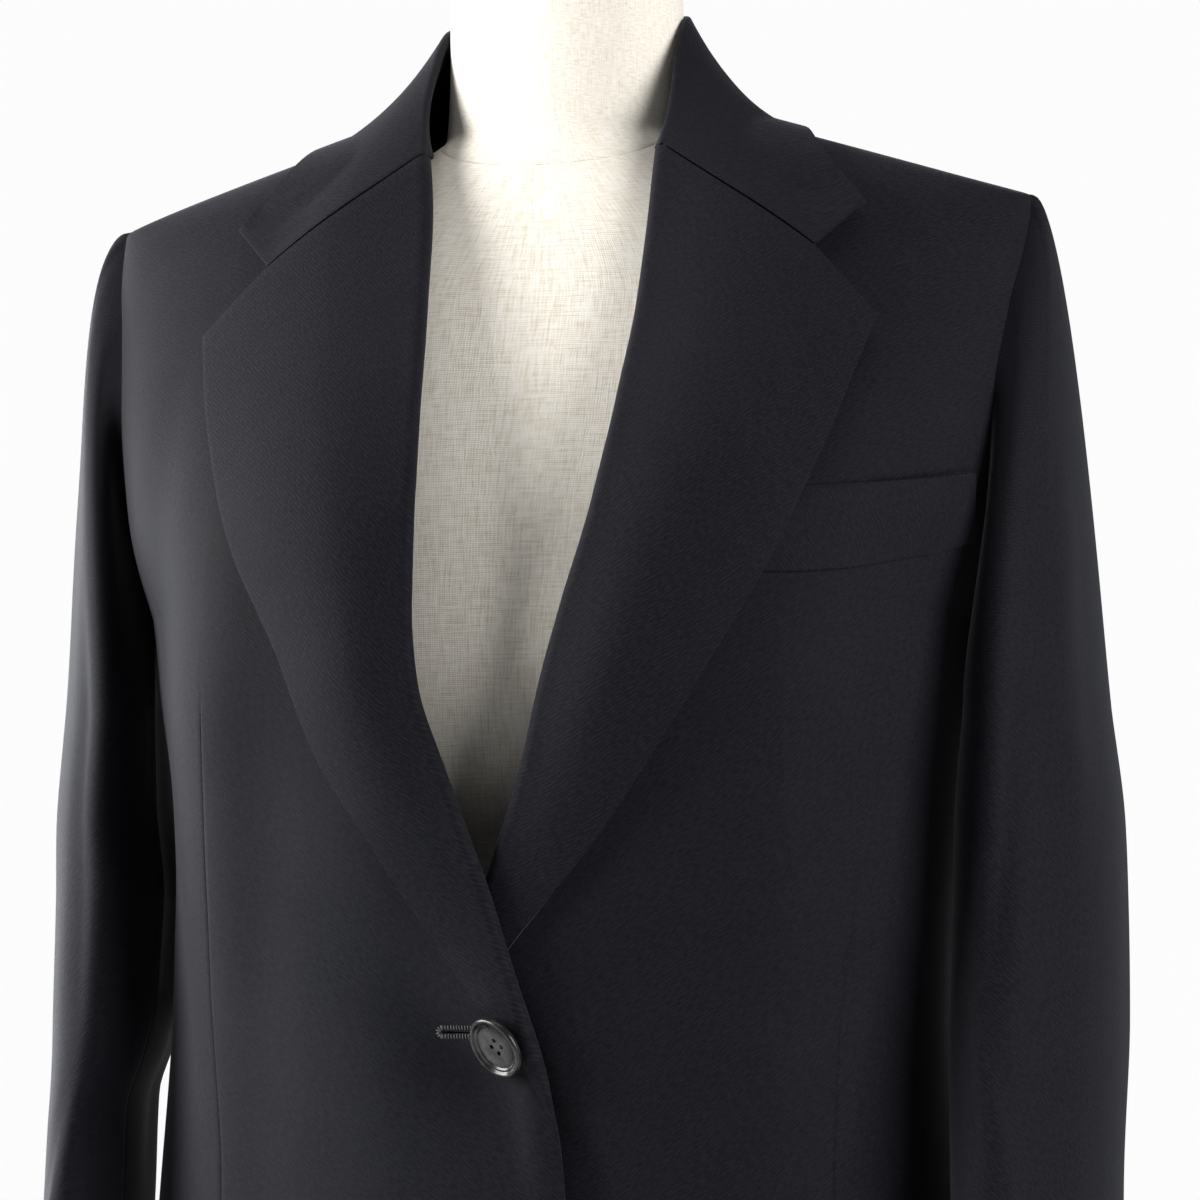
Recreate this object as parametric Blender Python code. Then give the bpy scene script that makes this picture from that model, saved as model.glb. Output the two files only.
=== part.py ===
"""A woman's single-breasted chesterfield coat in black wool, buttoned on a limbless dress form.

Metres, +Z up. The origin is the middle of the stand's underside, on the floor. The coat faces -Y,
and the wearer's left is +X. Every cloth piece is a wall lofted from a few sizes: level rings round
the body below the armpit, and rings that rise to the shoulder ridge above it.
"""

import math

import bmesh
import bpy
import numpy as np
from mathutils import Matrix, Vector

# ---- cloth ---------------------------------------------------------------------------------
CLOTH = 0.0020            # wool with its interlining
SEAM_GAP = 0.0005         # between two pieces at a seam
LAYER_GAP = 0.0010        # between a piece and the one that lies on it
COLUMNS = 14              # cloth panel grids, across and above the armpit
UPPER_ROWS = 13
# Rows below the armpit, closest round the top button.
FRONT_ROWS = (
    1.165, 1.138, 1.108, 1.078, 1.055, 1.040, 1.028, 1.016, 1.004, 0.990, 0.965, 0.920, 0.850, 0.740,
    0.600, 0.430,
)
NECK_ROWS = 6             # of the upper rows, down the back's neckline
COLUMN_CROWDING = 1.2     # above 1, columns are closer near the centre
BACK_ROWS = (1.160, 1.110, 1.060, 1.020, 0.980, 0.930, 0.860, 0.750, 0.600, 0.430)

# ---- the body of the coat ------------------------------------------------------------------
SHOULDER_HALF = 0.200     # centre to the shoulder point
SHOULDER_HEIGHT = 1.366
SHOULDER_SLOPE = 0.31     # rise of the shoulder line, per metre towards the neck
NECK_HALF = 0.072         # centre to the neck point on the shoulder seam
ARMPIT_HEIGHT = 1.190
HEM_HEIGHT = 0.430

# Rings from the armpit to the hem.
BODY_RINGS = (  # height, half width, front, back, squareness
    (1.190, 0.176, 0.1475, 0.112, 2.7),
    (1.160, 0.174, 0.1498, 0.109, 2.7),
    (1.110, 0.168, 0.1470, 0.104, 2.6),
    (1.020, 0.163, 0.1390, 0.098, 2.5),
    (0.930, 0.170, 0.1410, 0.106, 2.4),
    (0.820, 0.181, 0.1480, 0.124, 2.35),
    (0.620, 0.198, 0.1580, 0.141, 2.3),
    (0.430, 0.212, 0.1680, 0.153, 2.3),
)
HALF_WIDTH, FRONT, BACK, SQUARENESS = range(1, 5)

# Rings from the shoulder ridge (level 0) to the armpit (level 1). drop is the share of the way
# down, and the reaches are shares of the armpit ring's depth.
CHEST_RINGS = (  # level, half width, drop, front reach, back reach
    (0.00, 0.200, 0.000, 0.000, 0.000),
    (0.10, 0.200, 0.012, 0.140, 0.200),
    (0.20, 0.200, 0.060, 0.260, 0.380),
    (0.30, 0.200, 0.130, 0.350, 0.520),
    (0.45, 0.199, 0.280, 0.470, 0.700),
    (0.60, 0.196, 0.460, 0.640, 0.830),
    (0.75, 0.190, 0.650, 0.830, 0.925),
    (0.88, 0.183, 0.835, 0.962, 0.985),
    (1.00, 0.176, 1.000, 1.000, 1.000),
)
CHEST_HALF, DROP, FRONT_REACH, BACK_REACH = range(1, 5)

ARMHOLE_FRONT = math.radians(19)  # how far the armhole is scooped into the front, of a turn
ARMHOLE_BACK = math.radians(16)
BACK_NECK_LEVEL = 0.27    # the centre back's neck, between the ridge and the armpit

# The inner edge of each front, down its neckline, roll line and front edge. Each is measured to its
# own side, so past the centre is below 0. The opening hangs a little to the wearer's left.
FRONT_EDGE = (  # height, left across, right across
    (1.4057, 0.0720, 0.0720),
    (1.3850, 0.0510, 0.0490),
    (1.3200, 0.0510, 0.0400),
    (1.2750, 0.0485, 0.0350),
    (1.2350, 0.0435, 0.0320),
    (1.1900, 0.0315, 0.0315),
    (1.1600, 0.0235, 0.0280),
    (1.1250, 0.0150, 0.0160),
    (1.0800, 0.0000, 0.0000),
    (1.0200, -0.0175, -0.0175),
    (0.9750, -0.0280, -0.0280),
    (0.9300, -0.0310, -0.0310),
    (0.4300, -0.0310, -0.0310),
)
LEFT, RIGHT = 1, 2
# The right front wraps over the left one, so below the opening it stands off by what lies under it.
WRAP_LIFT = 0.0064
WRAP_FULL = (0.038, 1.085)  # across and height where the lift is whole
WRAP_NONE = (0.120, 1.200)  # and where it has gone

# ---- lapels --------------------------------------------------------------------------------
ROLL_TOP = 1.385          # where the roll line passes from the lapel to the collar
LAPEL_END = 0.986         # where the lapel has narrowed to nothing
NOTCH = {LEFT: (0.1165, 1.334), RIGHT: (0.1100, 1.333)}  # across, height
LAPEL_EDGE = (  # height, left across, right across: from the peak down
    (1.3050, 0.1432, 0.1372),
    (1.2800, 0.1360, 0.1303),
    (1.2500, 0.1270, 0.1198),
    (1.2100, 0.1105, 0.1040),
    (1.1700, 0.0890, 0.0830),
    (1.1300, 0.0645, 0.0650),
    (1.1000, 0.0450, 0.0455),
    (1.0750, 0.0245, 0.0300),
    (1.0520, 0.0065, 0.0145),
    (1.0370, -0.0020, 0.0040),
    (1.0200, -0.0100, -0.0095),
    (0.9900, -0.0210, -0.0225),
    (0.9800, -0.0245, -0.0250),
)
LAPEL_CROWN = 0.0035      # how far the middle of a lapel stands off the front
LAPEL_SPRING = 0.0024     # and its outer edge
LAPEL_FLAT, LAPEL_FULL = 1.07, 1.20  # heights between which it comes to stand off
BEND_SHARE = 0.25         # of the rows, below the gorge, that bend at the notch
LAPEL_ROWS = 22
LAPEL_CROWDING = 1.5      # above 1, rows are closer near the break
GORGE_COLUMNS, STEP_COLUMNS = 6, 3  # from the roll line to the notch, and on to the peak

# ---- collar --------------------------------------------------------------------------------
# From the centre back (share 0) over the shoulder (0.6) to the gorge (1).
CREASE = (  # share, across, back of the ridge, height
    (0.00, 0.0000, 0.0530, 1.4520),
    (0.20, 0.0265, 0.0465, 1.4545),
    (0.40, 0.0450, 0.0280, 1.4560),
    (0.60, 0.0520, 0.0000, 1.4500),
    (0.80, 0.0530, -0.0310, 1.4200),
    (1.00, 0.0500, -0.0560, 1.3860),
)
COLLAR_EDGE = (  # share, across, level: below 0 on the back
    (0.00, 0.0000, -0.330),
    (0.20, 0.0400, -0.300),
    (0.40, 0.0780, -0.190),
    (0.60, 0.1065, 0.000),
    (0.80, 0.1230, 0.170),
    (1.00, 0.1350, 0.330),
)
SHOULDER_SHARE = 0.6
GORGE_FROM = 0.72         # where the fall begins to turn towards the gorge
TIP_FACING = (0.0, -0.6, 0.8)  # outwards from the shoulder, under the collar's tips
COLLAR_BULGE = 0.17       # how hollow the fall is between its crease and its edge
COLLAR_COLUMNS = 17       # centre back to gorge, on each side
COLLAR_TIP = {LEFT: (0.1378, 1.3535), RIGHT: (0.1318, 1.3515)}
STAND_ROWS = 4
STAND_INSET = 0.0032      # from the crease and the neckline to the stand's inner face
STAND_DROP = 0.0015       # and from the crease down to its top

# ---- sleeves -------------------------------------------------------------------------------
SLEEVE_RINGS = (  # height, across, back of the ridge, thickness, depth, toe-in in degrees
    (1.150, 0.2010, -0.0130, 0.037, 0.142, 14.0),
    (1.100, 0.1995, -0.0140, 0.045, 0.142, 18.0),
    (1.020, 0.1985, -0.0240, 0.047, 0.141, 20.0),
    (0.940, 0.1990, -0.0410, 0.043, 0.141, 20.0),
    (0.785, 0.2080, -0.0660, 0.038, 0.124, 21.0),
)
CHEST_MIDDLE, ARMHOLE_MIDDLE = (0.0, 0.0, 1.25), (0.19, 0.0, 1.28)
CAP_ROWS, ARM_ROWS = 8, 9
SLEEVE_SEAM = 0.4         # degrees, half the gap between a sleeve's two pieces
CAP_OUT, CAP_RISE, CAP_FALL = 0.17, 0.02, 1.0  # shares of each cap row's length
FORE_SEAM, HIND_SEAM = 148, 255  # degrees round the sleeve from its outer side, by the front
TOP_COLUMNS, UNDER_COLUMNS = 18, 8

# ---- breast welt ---------------------------------------------------------------------------
WELT_LOW = ((0.088, 1.1965), (0.1770, 1.2185))   # across, height
WELT_HIGH = ((0.094, 1.2280), (0.1785, 1.2460))
WELT_THICK = 0.0014
WELT_ROWS, WELT_COLUMNS = 4, 9

# ---- buttons -------------------------------------------------------------------------------
BUTTON_HEIGHTS = (1.0175, 0.9025, 0.7875)
BUTTON_ACROSS = 0.004
BUTTON_TILTS = ((30, 26), (2, 2), (2, 2))  # degrees: to the wearer's right, and down
BUTTON_STANDOFF = (0.0046, 0.0012, 0.0012)  # from the cloth to the middle of its underside
# The lapel's roll lifts the cloth above the top button's outer side and sinks it on the other.
PULL = 0.0050
PULL_REACH = 0.018        # from the button to the highest lift
PULL_SPREAD = 0.030
PULL_TURN = math.radians(44)
BUTTON_RADIUS = 0.0130
BUTTON_PROFILE = (  # radius, height
    (0.0098, 0.0000),
    (0.0124, 0.0008),
    (BUTTON_RADIUS, 0.0022),
    (0.0122, 0.0036),
    (0.0108, 0.0038),
    (0.0092, 0.0030),
    (0.0074, 0.0018),
)
BUTTON_SIDES = 28
THREAD_HOLE = 0.0010      # radius
THREAD_SPACING = 0.0025

# ---- dress form ----------------------------------------------------------------------------
FORM_RINGS = (  # height, half width, front, back, squareness
    (0.700, 0.132, 0.078, 0.098, 2.2),
    (0.712, 0.142, 0.086, 0.106, 2.2),
    (0.770, 0.157, 0.100, 0.117, 2.25),
    (0.840, 0.160, 0.106, 0.114, 2.3),
    (0.930, 0.146, 0.102, 0.092, 2.3),
    (1.020, 0.128, 0.098, 0.080, 2.3),
    (1.090, 0.136, 0.113, 0.086, 2.3),
    (1.160, 0.148, 0.127, 0.094, 2.35),
    (1.220, 0.155, 0.118, 0.098, 2.4),
    (1.280, 0.163, 0.094, 0.093, 2.5),
    (1.320, 0.163, 0.074, 0.080, 2.5),
    (1.350, 0.140, 0.061, 0.066, 2.3),
    (1.372, 0.100, 0.055, 0.057, 2.1),
    (1.390, 0.066, 0.050, 0.051, 2.0),
    (1.400, 0.050, 0.047, 0.047, 2.0),
)
FORM_SIDES = 36
NECK_RINGS = (  # height, half width, front, back, squareness
    (1.4006, 0.0488, 0.0470, 0.0465, 2.0),
    (1.4250, 0.0478, 0.0465, 0.0462, 2.0),
    (1.4800, 0.0478, 0.0466, 0.0466, 2.0),
    (1.5000, 0.0470, 0.0460, 0.0460, 2.0),
)
NECK_CAP_RADIUS, NECK_CAP_TOP = 0.036, 1.512
POLE_RADIUS = 0.0125
BASE_RADIUS, BASE_THICK = 0.190, 0.008
EDGE = 0.003              # the bevel on the cap and the base

WOOL = ("black wool", (0.012, 0.012, 0.015), 0.85, 0.0)
BUTTON_HORN = ("black button", (0.02, 0.02, 0.022), 0.25, 0.0)
LINEN = ("natural linen", (0.72, 0.68, 0.60), 0.9, 0.0)
STEEL = ("painted steel", (0.75, 0.74, 0.72), 0.4, 0.6)
BEECH = ("beech", (0.52, 0.36, 0.20), 0.5, 0.0)


# ---- curves and surfaces -------------------------------------------------------------------
def table_value(rows, column, at):
    """One column of a table as a smooth curve that never overshoots. The first column is where."""
    rows = np.array(rows, float)
    if rows[0, 0] > rows[-1, 0]:
        rows = rows[::-1]
    where, value = rows[:, 0], rows[:, column]
    step = np.diff(where)
    rise = np.diff(value) / step
    turning = rise[:-1] * rise[1:] <= 0
    mean = 2 * rise[:-1] * rise[1:] / np.where(turning, 1.0, rise[:-1] + rise[1:])
    slope = np.concatenate([rise[:1], np.where(turning, 0.0, mean), rise[-1:]])
    at = np.clip(np.asarray(at, float), where[0], where[-1])
    i = np.clip(np.searchsorted(where, at, side="right") - 1, 0, len(step) - 1)
    t = (at - where[i]) / step[i]
    return (
        value[i] * (1 + 2 * t) * (1 - t) ** 2
        + slope[i] * step[i] * t * (1 - t) ** 2
        + value[i + 1] * t * t * (3 - 2 * t)
        + slope[i + 1] * step[i] * t * t * (t - 1)
    )


def ease(share):
    """0 below 0, 1 above 1, and smooth between."""
    share = np.clip(share, 0.0, 1.0)
    return share * share * (3 - 2 * share)


def own(side):
    """The table column of the wearer's left (1) or right (-1)."""
    return LEFT if side > 0 else RIGHT


def ridge_height(x):
    return SHOULDER_HEIGHT + (SHOULDER_HALF - np.abs(x)) * SHOULDER_SLOPE


def ring_half(level, height):
    chest = table_value(CHEST_RINGS, CHEST_HALF, np.clip(level, 0, 1))
    return np.where(level <= 1, chest, table_value(BODY_RINGS, HALF_WIDTH, height))


def ring_power(height):
    return 2 / table_value(BODY_RINGS, SQUARENESS, height)


def level_height(level):
    """The height of a level below the armpit, and the armpit's above it."""
    return ARMPIT_HEIGHT + (HEM_HEIGHT - ARMPIT_HEIGHT) * np.clip(level - 1, 0, 1)


def body_point(turn, level, back=False):
    """A point of the coat's body. turn is 0 at the centre line and a quarter turn at the side, with
    that side's sign. level is 0 on the shoulder ridge, 1 at the armpit and 2 at the hem."""
    turn, level = np.broadcast_arrays(np.asarray(turn, float), np.asarray(level, float))
    height = level_height(level)
    power = ring_power(height)
    chest = np.clip(level, 0, 1)
    reach = table_value(CHEST_RINGS, BACK_REACH if back else FRONT_REACH, chest)
    depth = table_value(BODY_RINGS, BACK if back else FRONT, height) * reach
    x = ring_half(level, height) * np.sign(turn) * np.abs(np.sin(turn)) ** power
    y = depth * np.clip(np.cos(turn), 0, 1) ** power * (1 if back else -1)
    ridge = ridge_height(x)
    fallen = ridge + (ARMPIT_HEIGHT - ridge) * table_value(CHEST_RINGS, DROP, chest)
    return np.stack([x, y, np.where(level <= 1, fallen, height)], axis=-1)


def turn_at(x, level):
    """The turn at which a level's ring reaches x."""
    height = level_height(level)
    share = np.clip(np.abs(x) / ring_half(level, height), 0, 1)
    return np.sign(x) * np.arcsin(share ** (1 / ring_power(height)))


def front_surface(x, z):
    """The point of the body's front at this x and z."""
    x, z = np.broadcast_arrays(np.asarray(x, float), np.asarray(z, float))
    ridge = ridge_height(x)
    drop = np.clip((ridge - z) / (ridge - ARMPIT_HEIGHT), 0, 1)
    levels = np.linspace(0, 1, 400)
    chest = np.interp(drop, table_value(CHEST_RINGS, DROP, levels), levels)
    below = (ARMPIT_HEIGHT - z) / (ARMPIT_HEIGHT - HEM_HEIGHT)
    level = np.where(z > ARMPIT_HEIGHT, chest, 1 + below)
    return body_point(turn_at(x, level), level)


def shoulder_surface(x, level):
    """A point of the shoulder at this x. level is above 0 on the front and below 0 on the back."""
    turn = turn_at(x, np.abs(level))
    behind = (np.asarray(level) < 0)[..., None]
    return np.where(behind, body_point(turn, np.abs(level), True), body_point(turn, np.abs(level)))


def normals_of(points):
    """Unit normals of a grid of points."""
    normal = np.cross(np.gradient(points, axis=0), np.gradient(points, axis=1))
    return normal / (np.linalg.norm(normal, axis=-1, keepdims=True) + 1e-12)


def moved_out(points, distance):
    """A grid of points moved along its own normals, away from the body's axis."""
    normal = normals_of(points)
    if np.sum(normal[..., :2] * points[..., :2]) < 0:
        normal = -normal
    return points + normal * np.broadcast_to(distance, points.shape[:2])[..., None]


def clear_of_shoulder(points, distance):
    """Points pushed off the shoulder, in their own upright sections, until they clear it."""
    levels = np.linspace(-0.9, 0.9, 361)
    cleared = points.copy()
    for index in np.ndindex(points.shape[:-1]):
        x, y, z = points[index]
        section = shoulder_surface(np.full(levels.shape, x), levels)[:, 1:]
        tangent = np.gradient(section, axis=0)
        normal = np.stack([tangent[:, 1], -tangent[:, 0]], axis=-1)
        normal /= np.linalg.norm(normal, axis=-1, keepdims=True)
        normal *= np.sign(normal[:, 1:] + 1e-9)
        away = np.array([y, z]) - section
        near = np.argmin(np.sum(away**2, axis=-1))
        short = distance - away[near] @ normal[near]
        if short > 0:
            cleared[index][1:] += normal[near] * short
    return cleared


def button_pull(x, z):
    """How far the top button's pull moves the cloth forward."""
    dx, dz = x - BUTTON_ACROSS, z - BUTTON_HEIGHTS[0]
    up = (dx * math.cos(PULL_TURN) + dz * math.sin(PULL_TURN)) / PULL_REACH
    aside = (dz * math.cos(PULL_TURN) - dx * math.sin(PULL_TURN)) / PULL_SPREAD
    return PULL * up * np.exp(0.5 - (up**2 + aside**2) / 2)


def pulled(points):
    moved = points.copy()
    moved[..., 1] -= button_pull(points[..., 0], points[..., 2])
    return moved


def wrap_lift(across, height):
    """How far the right front stands off the body. across is towards its own side."""
    near, below = (
        ease((none - at) / (none - full)) for none, full, at in zip(WRAP_NONE, WRAP_FULL, (across, height))
    )
    return WRAP_LIFT * near * below


# ---- making solids -------------------------------------------------------------------------
def material(finish):
    name, colour, roughness, metallic = finish
    made = bpy.data.materials.get(name)
    if made is None:
        made = bpy.data.materials.new(name)
        made.use_nodes = True
        shader = made.node_tree.nodes["Principled BSDF"]
        shader.inputs["Base Color"].default_value = (*colour, 1.0)
        shader.inputs["Roughness"].default_value = roughness
        shader.inputs["Metallic"].default_value = metallic
    return made


def add_object(name, bm, finish):
    mesh = bpy.data.meshes.new(name)
    bm.to_mesh(mesh)
    bm.free()
    mesh.materials.append(material(finish))
    mesh.shade_smooth()
    mesh.set_sharp_from_angle(angle=math.radians(40))
    obj = bpy.data.objects.new(name, mesh)
    bpy.context.scene.collection.objects.link(obj)
    return obj


def cloth_wall(name, points, away_from=(0.0, 0.0), thickness=CLOTH):
    """A wall of cloth on a grid of points, thickened away from a vertical axis."""
    rows, columns = points.shape[:2]
    bm = bmesh.new()
    bmesh.ops.create_grid(bm, x_segments=columns - 1, y_segments=rows - 1, size=1)
    for vert in bm.verts:
        column = round((vert.co.x + 1) / 2 * (columns - 1))
        row = round((vert.co.y + 1) / 2 * (rows - 1))
        vert.co = points[row, column]
    bm.normal_update()
    axis = Vector((*away_from, 0.0))
    facing_out = sum(
        face.calc_area() * face.normal.xy.dot((face.calc_center_median() - axis).xy)
        for face in bm.faces
    )
    if facing_out < 0:
        bmesh.ops.reverse_faces(bm, faces=bm.faces)
    obj = add_object(name, bm, WOOL)
    wall = obj.modifiers.new("cloth", "SOLIDIFY")
    wall.thickness = thickness
    wall.offset = 1
    return obj


def turned_solid(name, profile, finish):
    """A round solid through heights and radii, from the lowest up."""
    ring_solid(name, [(height, *[radius] * 3, 2) for height, radius in profile], finish)


def ring_solid(name, rings, finish):
    """A closed solid through level rings, from the lowest up."""
    turns = np.linspace(0, 2 * math.pi, FORM_SIDES, endpoint=False)
    bm = bmesh.new()
    loops = []
    for height, half, front, back, squareness in rings:
        power = 2 / squareness
        x = half * np.sign(np.cos(turns)) * np.abs(np.cos(turns)) ** power
        y = np.sign(np.sin(turns)) * np.abs(np.sin(turns)) ** power
        y = np.where(y < 0, y * front, y * back)
        loops.append([bm.verts.new((a, b, height)) for a, b in zip(x, y)])
    for low, high in zip(loops, loops[1:]):
        for i in range(FORM_SIDES):
            j = (i + 1) % FORM_SIDES
            bm.faces.new((low[i], low[j], high[j], high[i]))
    bm.faces.new(loops[0][::-1])
    bm.faces.new(loops[-1])
    add_object(name, bm, finish)


# ---- fronts and backs ----------------------------------------------------------------------
def armhole_turn(level, back=False):
    """The armhole's edge, as a turn from the centre line. It closes at the shoulder and armpit."""
    open_share = np.sqrt(np.clip(1 - (2 * np.clip(level, 0, 1) - 1) ** 2, 0, 1))
    return math.pi / 2 - (ARMHOLE_BACK if back else ARMHOLE_FRONT) * open_share


def lower_levels(heights):
    return 1 + (ARMPIT_HEIGHT - np.array(heights)) / (ARMPIT_HEIGHT - HEM_HEIGHT)


def panel_points(inner_turns, levels, back):
    """Rows from the shoulder to the hem, columns from the centre to the side seam."""
    outer = armhole_turn(levels, back)
    share = np.linspace(0, 1, COLUMNS) ** COLUMN_CROWDING
    turns = inner_turns[:, None] + (outer - inner_turns)[:, None] * share
    points = body_point(turns, levels[:, None], back)
    gap = SEAM_GAP / 2
    points[..., 1] = np.maximum(points[..., 1], gap) if back else np.minimum(points[..., 1], -gap)
    return points


def front_inner_turn(level, side):
    """The turn at which this level's ring meets the front's inner edge."""
    turns = np.linspace(-0.6, math.pi / 2, 600)
    ring = body_point(turns, level)
    past = ring[:, 0] - table_value(FRONT_EDGE, own(side), ring[:, 2])
    return float(np.interp(0.0, past, turns))


def front_points(side):
    upper = (1 - np.cos(np.linspace(0.0, math.pi, UPPER_ROWS))) / 2
    levels = np.concatenate([upper, lower_levels(FRONT_ROWS)])
    points = panel_points(np.array([front_inner_turn(level, side) for level in levels]), levels, False)
    if side < 0:
        points = moved_out(points, wrap_lift(points[..., 0], points[..., 2]))
    return pulled(points * (side, 1, 1))


def back_points(side):
    neck_turn = np.linspace(0, math.pi / 2, NECK_ROWS)
    below_neck = np.linspace(BACK_NECK_LEVEL, 1, UPPER_ROWS - NECK_ROWS + 1)[1:]
    levels = np.concatenate([BACK_NECK_LEVEL * np.sin(neck_turn), below_neck, lower_levels(BACK_ROWS)])
    neck = np.zeros(len(levels))
    neck[:NECK_ROWS] = NECK_HALF * np.cos(neck_turn)
    points = panel_points(turn_at(np.maximum(neck, SEAM_GAP / 2), levels), levels, True)
    return points * (side, 1, 1)


# ---- lapels --------------------------------------------------------------------------------
def lapel_shares(side):
    """Columns of the lapel, with one on the notch."""
    roll_across = table_value(FRONT_EDGE, own(side), ROLL_TOP)
    notch_share = (NOTCH[own(side)][0] - roll_across) / (LAPEL_EDGE[0][own(side)] - roll_across)
    gorge = np.linspace(0, notch_share, GORGE_COLUMNS)
    return np.concatenate([gorge, np.linspace(notch_share, 1, STEP_COLUMNS + 1)[1:]])


def lapel_points(side):
    """Rows from the gorge down to the break, columns from the roll line to the outer edge."""
    peak_height = LAPEL_EDGE[0][0]
    down = 1 - np.linspace(1, 0, LAPEL_ROWS) ** LAPEL_CROWDING
    roll_height = ROLL_TOP + (LAPEL_END - ROLL_TOP) * down
    edge_height = peak_height + (LAPEL_END - peak_height) * down
    roll_across = table_value(FRONT_EDGE, own(side), roll_height)
    edge_across = table_value(LAPEL_EDGE, own(side), edge_height)
    q = lapel_shares(side)
    notch_share = q[GORGE_COLUMNS - 1]
    across = roll_across[:, None] + (edge_across - roll_across)[:, None] * q
    height = roll_height[:, None] + (edge_height - roll_height)[:, None] * q
    # The gorge bends at the notch, and the rows below it share less and less of the bend.
    straight = roll_height[0] + (edge_height[0] - roll_height[0]) * notch_share
    bend = (NOTCH[own(side)][1] - straight) * np.interp(q, [0, notch_share, 1], [0, 1, 0])
    height = height + bend * (1 - ease(down / BEND_SHARE))[:, None]
    points = front_surface(across, height)
    rising = ease((roll_height - LAPEL_FLAT) / (LAPEL_FULL - LAPEL_FLAT))[:, None]
    stand = CLOTH + LAYER_GAP + rising * (
        LAPEL_CROWN * np.sin(math.pi * q) + LAPEL_SPRING * ease(q * 2)
    )
    if side < 0:
        stand = stand + wrap_lift(across, height)
    return pulled(moved_out(points, stand) * (side, 1, 1))


# ---- collar --------------------------------------------------------------------------------
def crease_points(share):
    return np.stack([table_value(CREASE, column, share) for column in (1, 2, 3)], axis=-1)


def neck_seam_points(share, side):
    """The neckline, from the centre back over the shoulder to the roll line."""
    a = np.clip(share / SHOULDER_SHARE, 0, 1) * math.pi / 2
    behind = shoulder_surface(NECK_HALF * np.sin(a), -BACK_NECK_LEVEL * np.cos(a))
    on = np.clip((share - SHOULDER_SHARE) / (1 - SHOULDER_SHARE), 0, 1)
    height = FRONT_EDGE[0][0] + (FRONT_EDGE[1][0] - FRONT_EDGE[0][0]) * on
    before = front_surface(table_value(FRONT_EDGE, own(side), height), height)
    return np.where((share <= SHOULDER_SHARE)[..., None], behind, before)


def both_sides(half, turned):
    """A grid for the wearer's left, and another for the right, joined at the centre back."""
    other = turned[:, ::-1] * (-1, 1, 1)
    return np.concatenate([other[:, :-1], half], axis=1)


def collar_fall_half(side):
    """Rows from the crease to the outer edge, columns from the centre back to the gorge."""
    share = np.linspace(0, 1, COLLAR_COLUMNS)
    q = lapel_shares(side)
    t = q[:, None]
    crease = crease_points(share)
    edge = shoulder_surface(table_value(COLLAR_EDGE, 1, share), table_value(COLLAR_EDGE, 2, share))
    out = crease + (edge - crease) * t[..., None]
    behind_gorge = 1 - ease((share - SHOULDER_SHARE) / (1 - SHOULDER_SHARE))
    fallen = t + COLLAR_BULGE * np.sin(math.pi * t) * behind_gorge
    out[..., 2] = crease[:, 2] + (edge - crease)[:, 2] * fallen
    lapel_top = lapel_points(side) * (side, 1, 1)
    up_gorge = lapel_top[0] - lapel_top[1]
    up_gorge /= np.linalg.norm(up_gorge, axis=-1, keepdims=True)
    gorge = lapel_top[0] + up_gorge * SEAM_GAP * 2
    notch = gorge[GORGE_COLUMNS - 1]
    lift = np.array(TIP_FACING) * (CLOTH + LAYER_GAP + LAPEL_SPRING)
    to_tip = front_surface(*COLLAR_TIP[own(side)]) + lift - notch
    on = np.linspace(0, 1, STEP_COLUMNS + 1)[1:, None]
    front_end = np.concatenate([gorge[:GORGE_COLUMNS], notch + to_tip * on])
    near_gorge = ease((share - GORGE_FROM) / (1 - GORGE_FROM))[None, :, None]
    out = out + near_gorge * (front_end - out[:, -1])[:, None]
    cleared = clear_of_shoulder(out[:, :-1], CLOTH + LAYER_GAP)
    return np.concatenate([cleared, front_end[:, None]], axis=1)


def collar_stand_half(side):
    """Rows from the neckline to the crease, columns from the centre back towards the gorge."""
    share = np.linspace(0, 0.96, COLLAR_COLUMNS)
    top, low = crease_points(share), neck_seam_points(share, side)
    for line, drop in ((top, STAND_DROP), (low, 0.0)):
        line[:, :2] *= 1 - STAND_INSET / np.linalg.norm(line[:, :2], axis=-1, keepdims=True)
        line[:, 2] -= drop
    rise = np.linspace(0, 1, STAND_ROWS)[:, None, None]
    return low + (top - low) * rise


# ---- sleeves -------------------------------------------------------------------------------
def sleeve_ring(angle, height):
    """A point of the left sleeve: angle 0 is its outer side and a quarter turn its front."""
    along = [table_value(SLEEVE_RINGS, column, height) for column in range(1, 6)]
    across, behind, thick, depth, toe = along
    toe = np.radians(toe)
    out = np.cos(angle) * thick / 2
    forward = np.sin(angle) * depth / 2
    x = across + out * np.cos(toe) - forward * np.sin(toe)
    y = behind - forward * np.cos(toe) - out * np.sin(toe)
    return np.stack(np.broadcast_arrays(x, y, height), axis=-1)


def armhole_point(angle):
    """The sleeve's root round the armhole: angle 0 is the shoulder and a quarter turn the front."""
    level = (1 - np.cos(angle)) / 2
    behind = np.sin(angle) < 0
    edge = np.where(
        behind[..., None],
        body_point(armhole_turn(level, True), level, True),
        body_point(armhole_turn(level), level),
    )
    step = 1e-3
    inside = np.where(
        behind[..., None],
        body_point(armhole_turn(level, True) - step, level, True),
        body_point(armhole_turn(level) - step, level),
    )
    along = np.gradient(edge, axis=-2)
    normal = np.cross(along, edge - inside)
    normal /= np.linalg.norm(normal, axis=-1, keepdims=True)
    normal *= np.sign(np.sum(normal * (edge - np.array(CHEST_MIDDLE)), axis=-1, keepdims=True))
    return edge + normal * CLOTH + (3 * SEAM_GAP, 0, 0)


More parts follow.
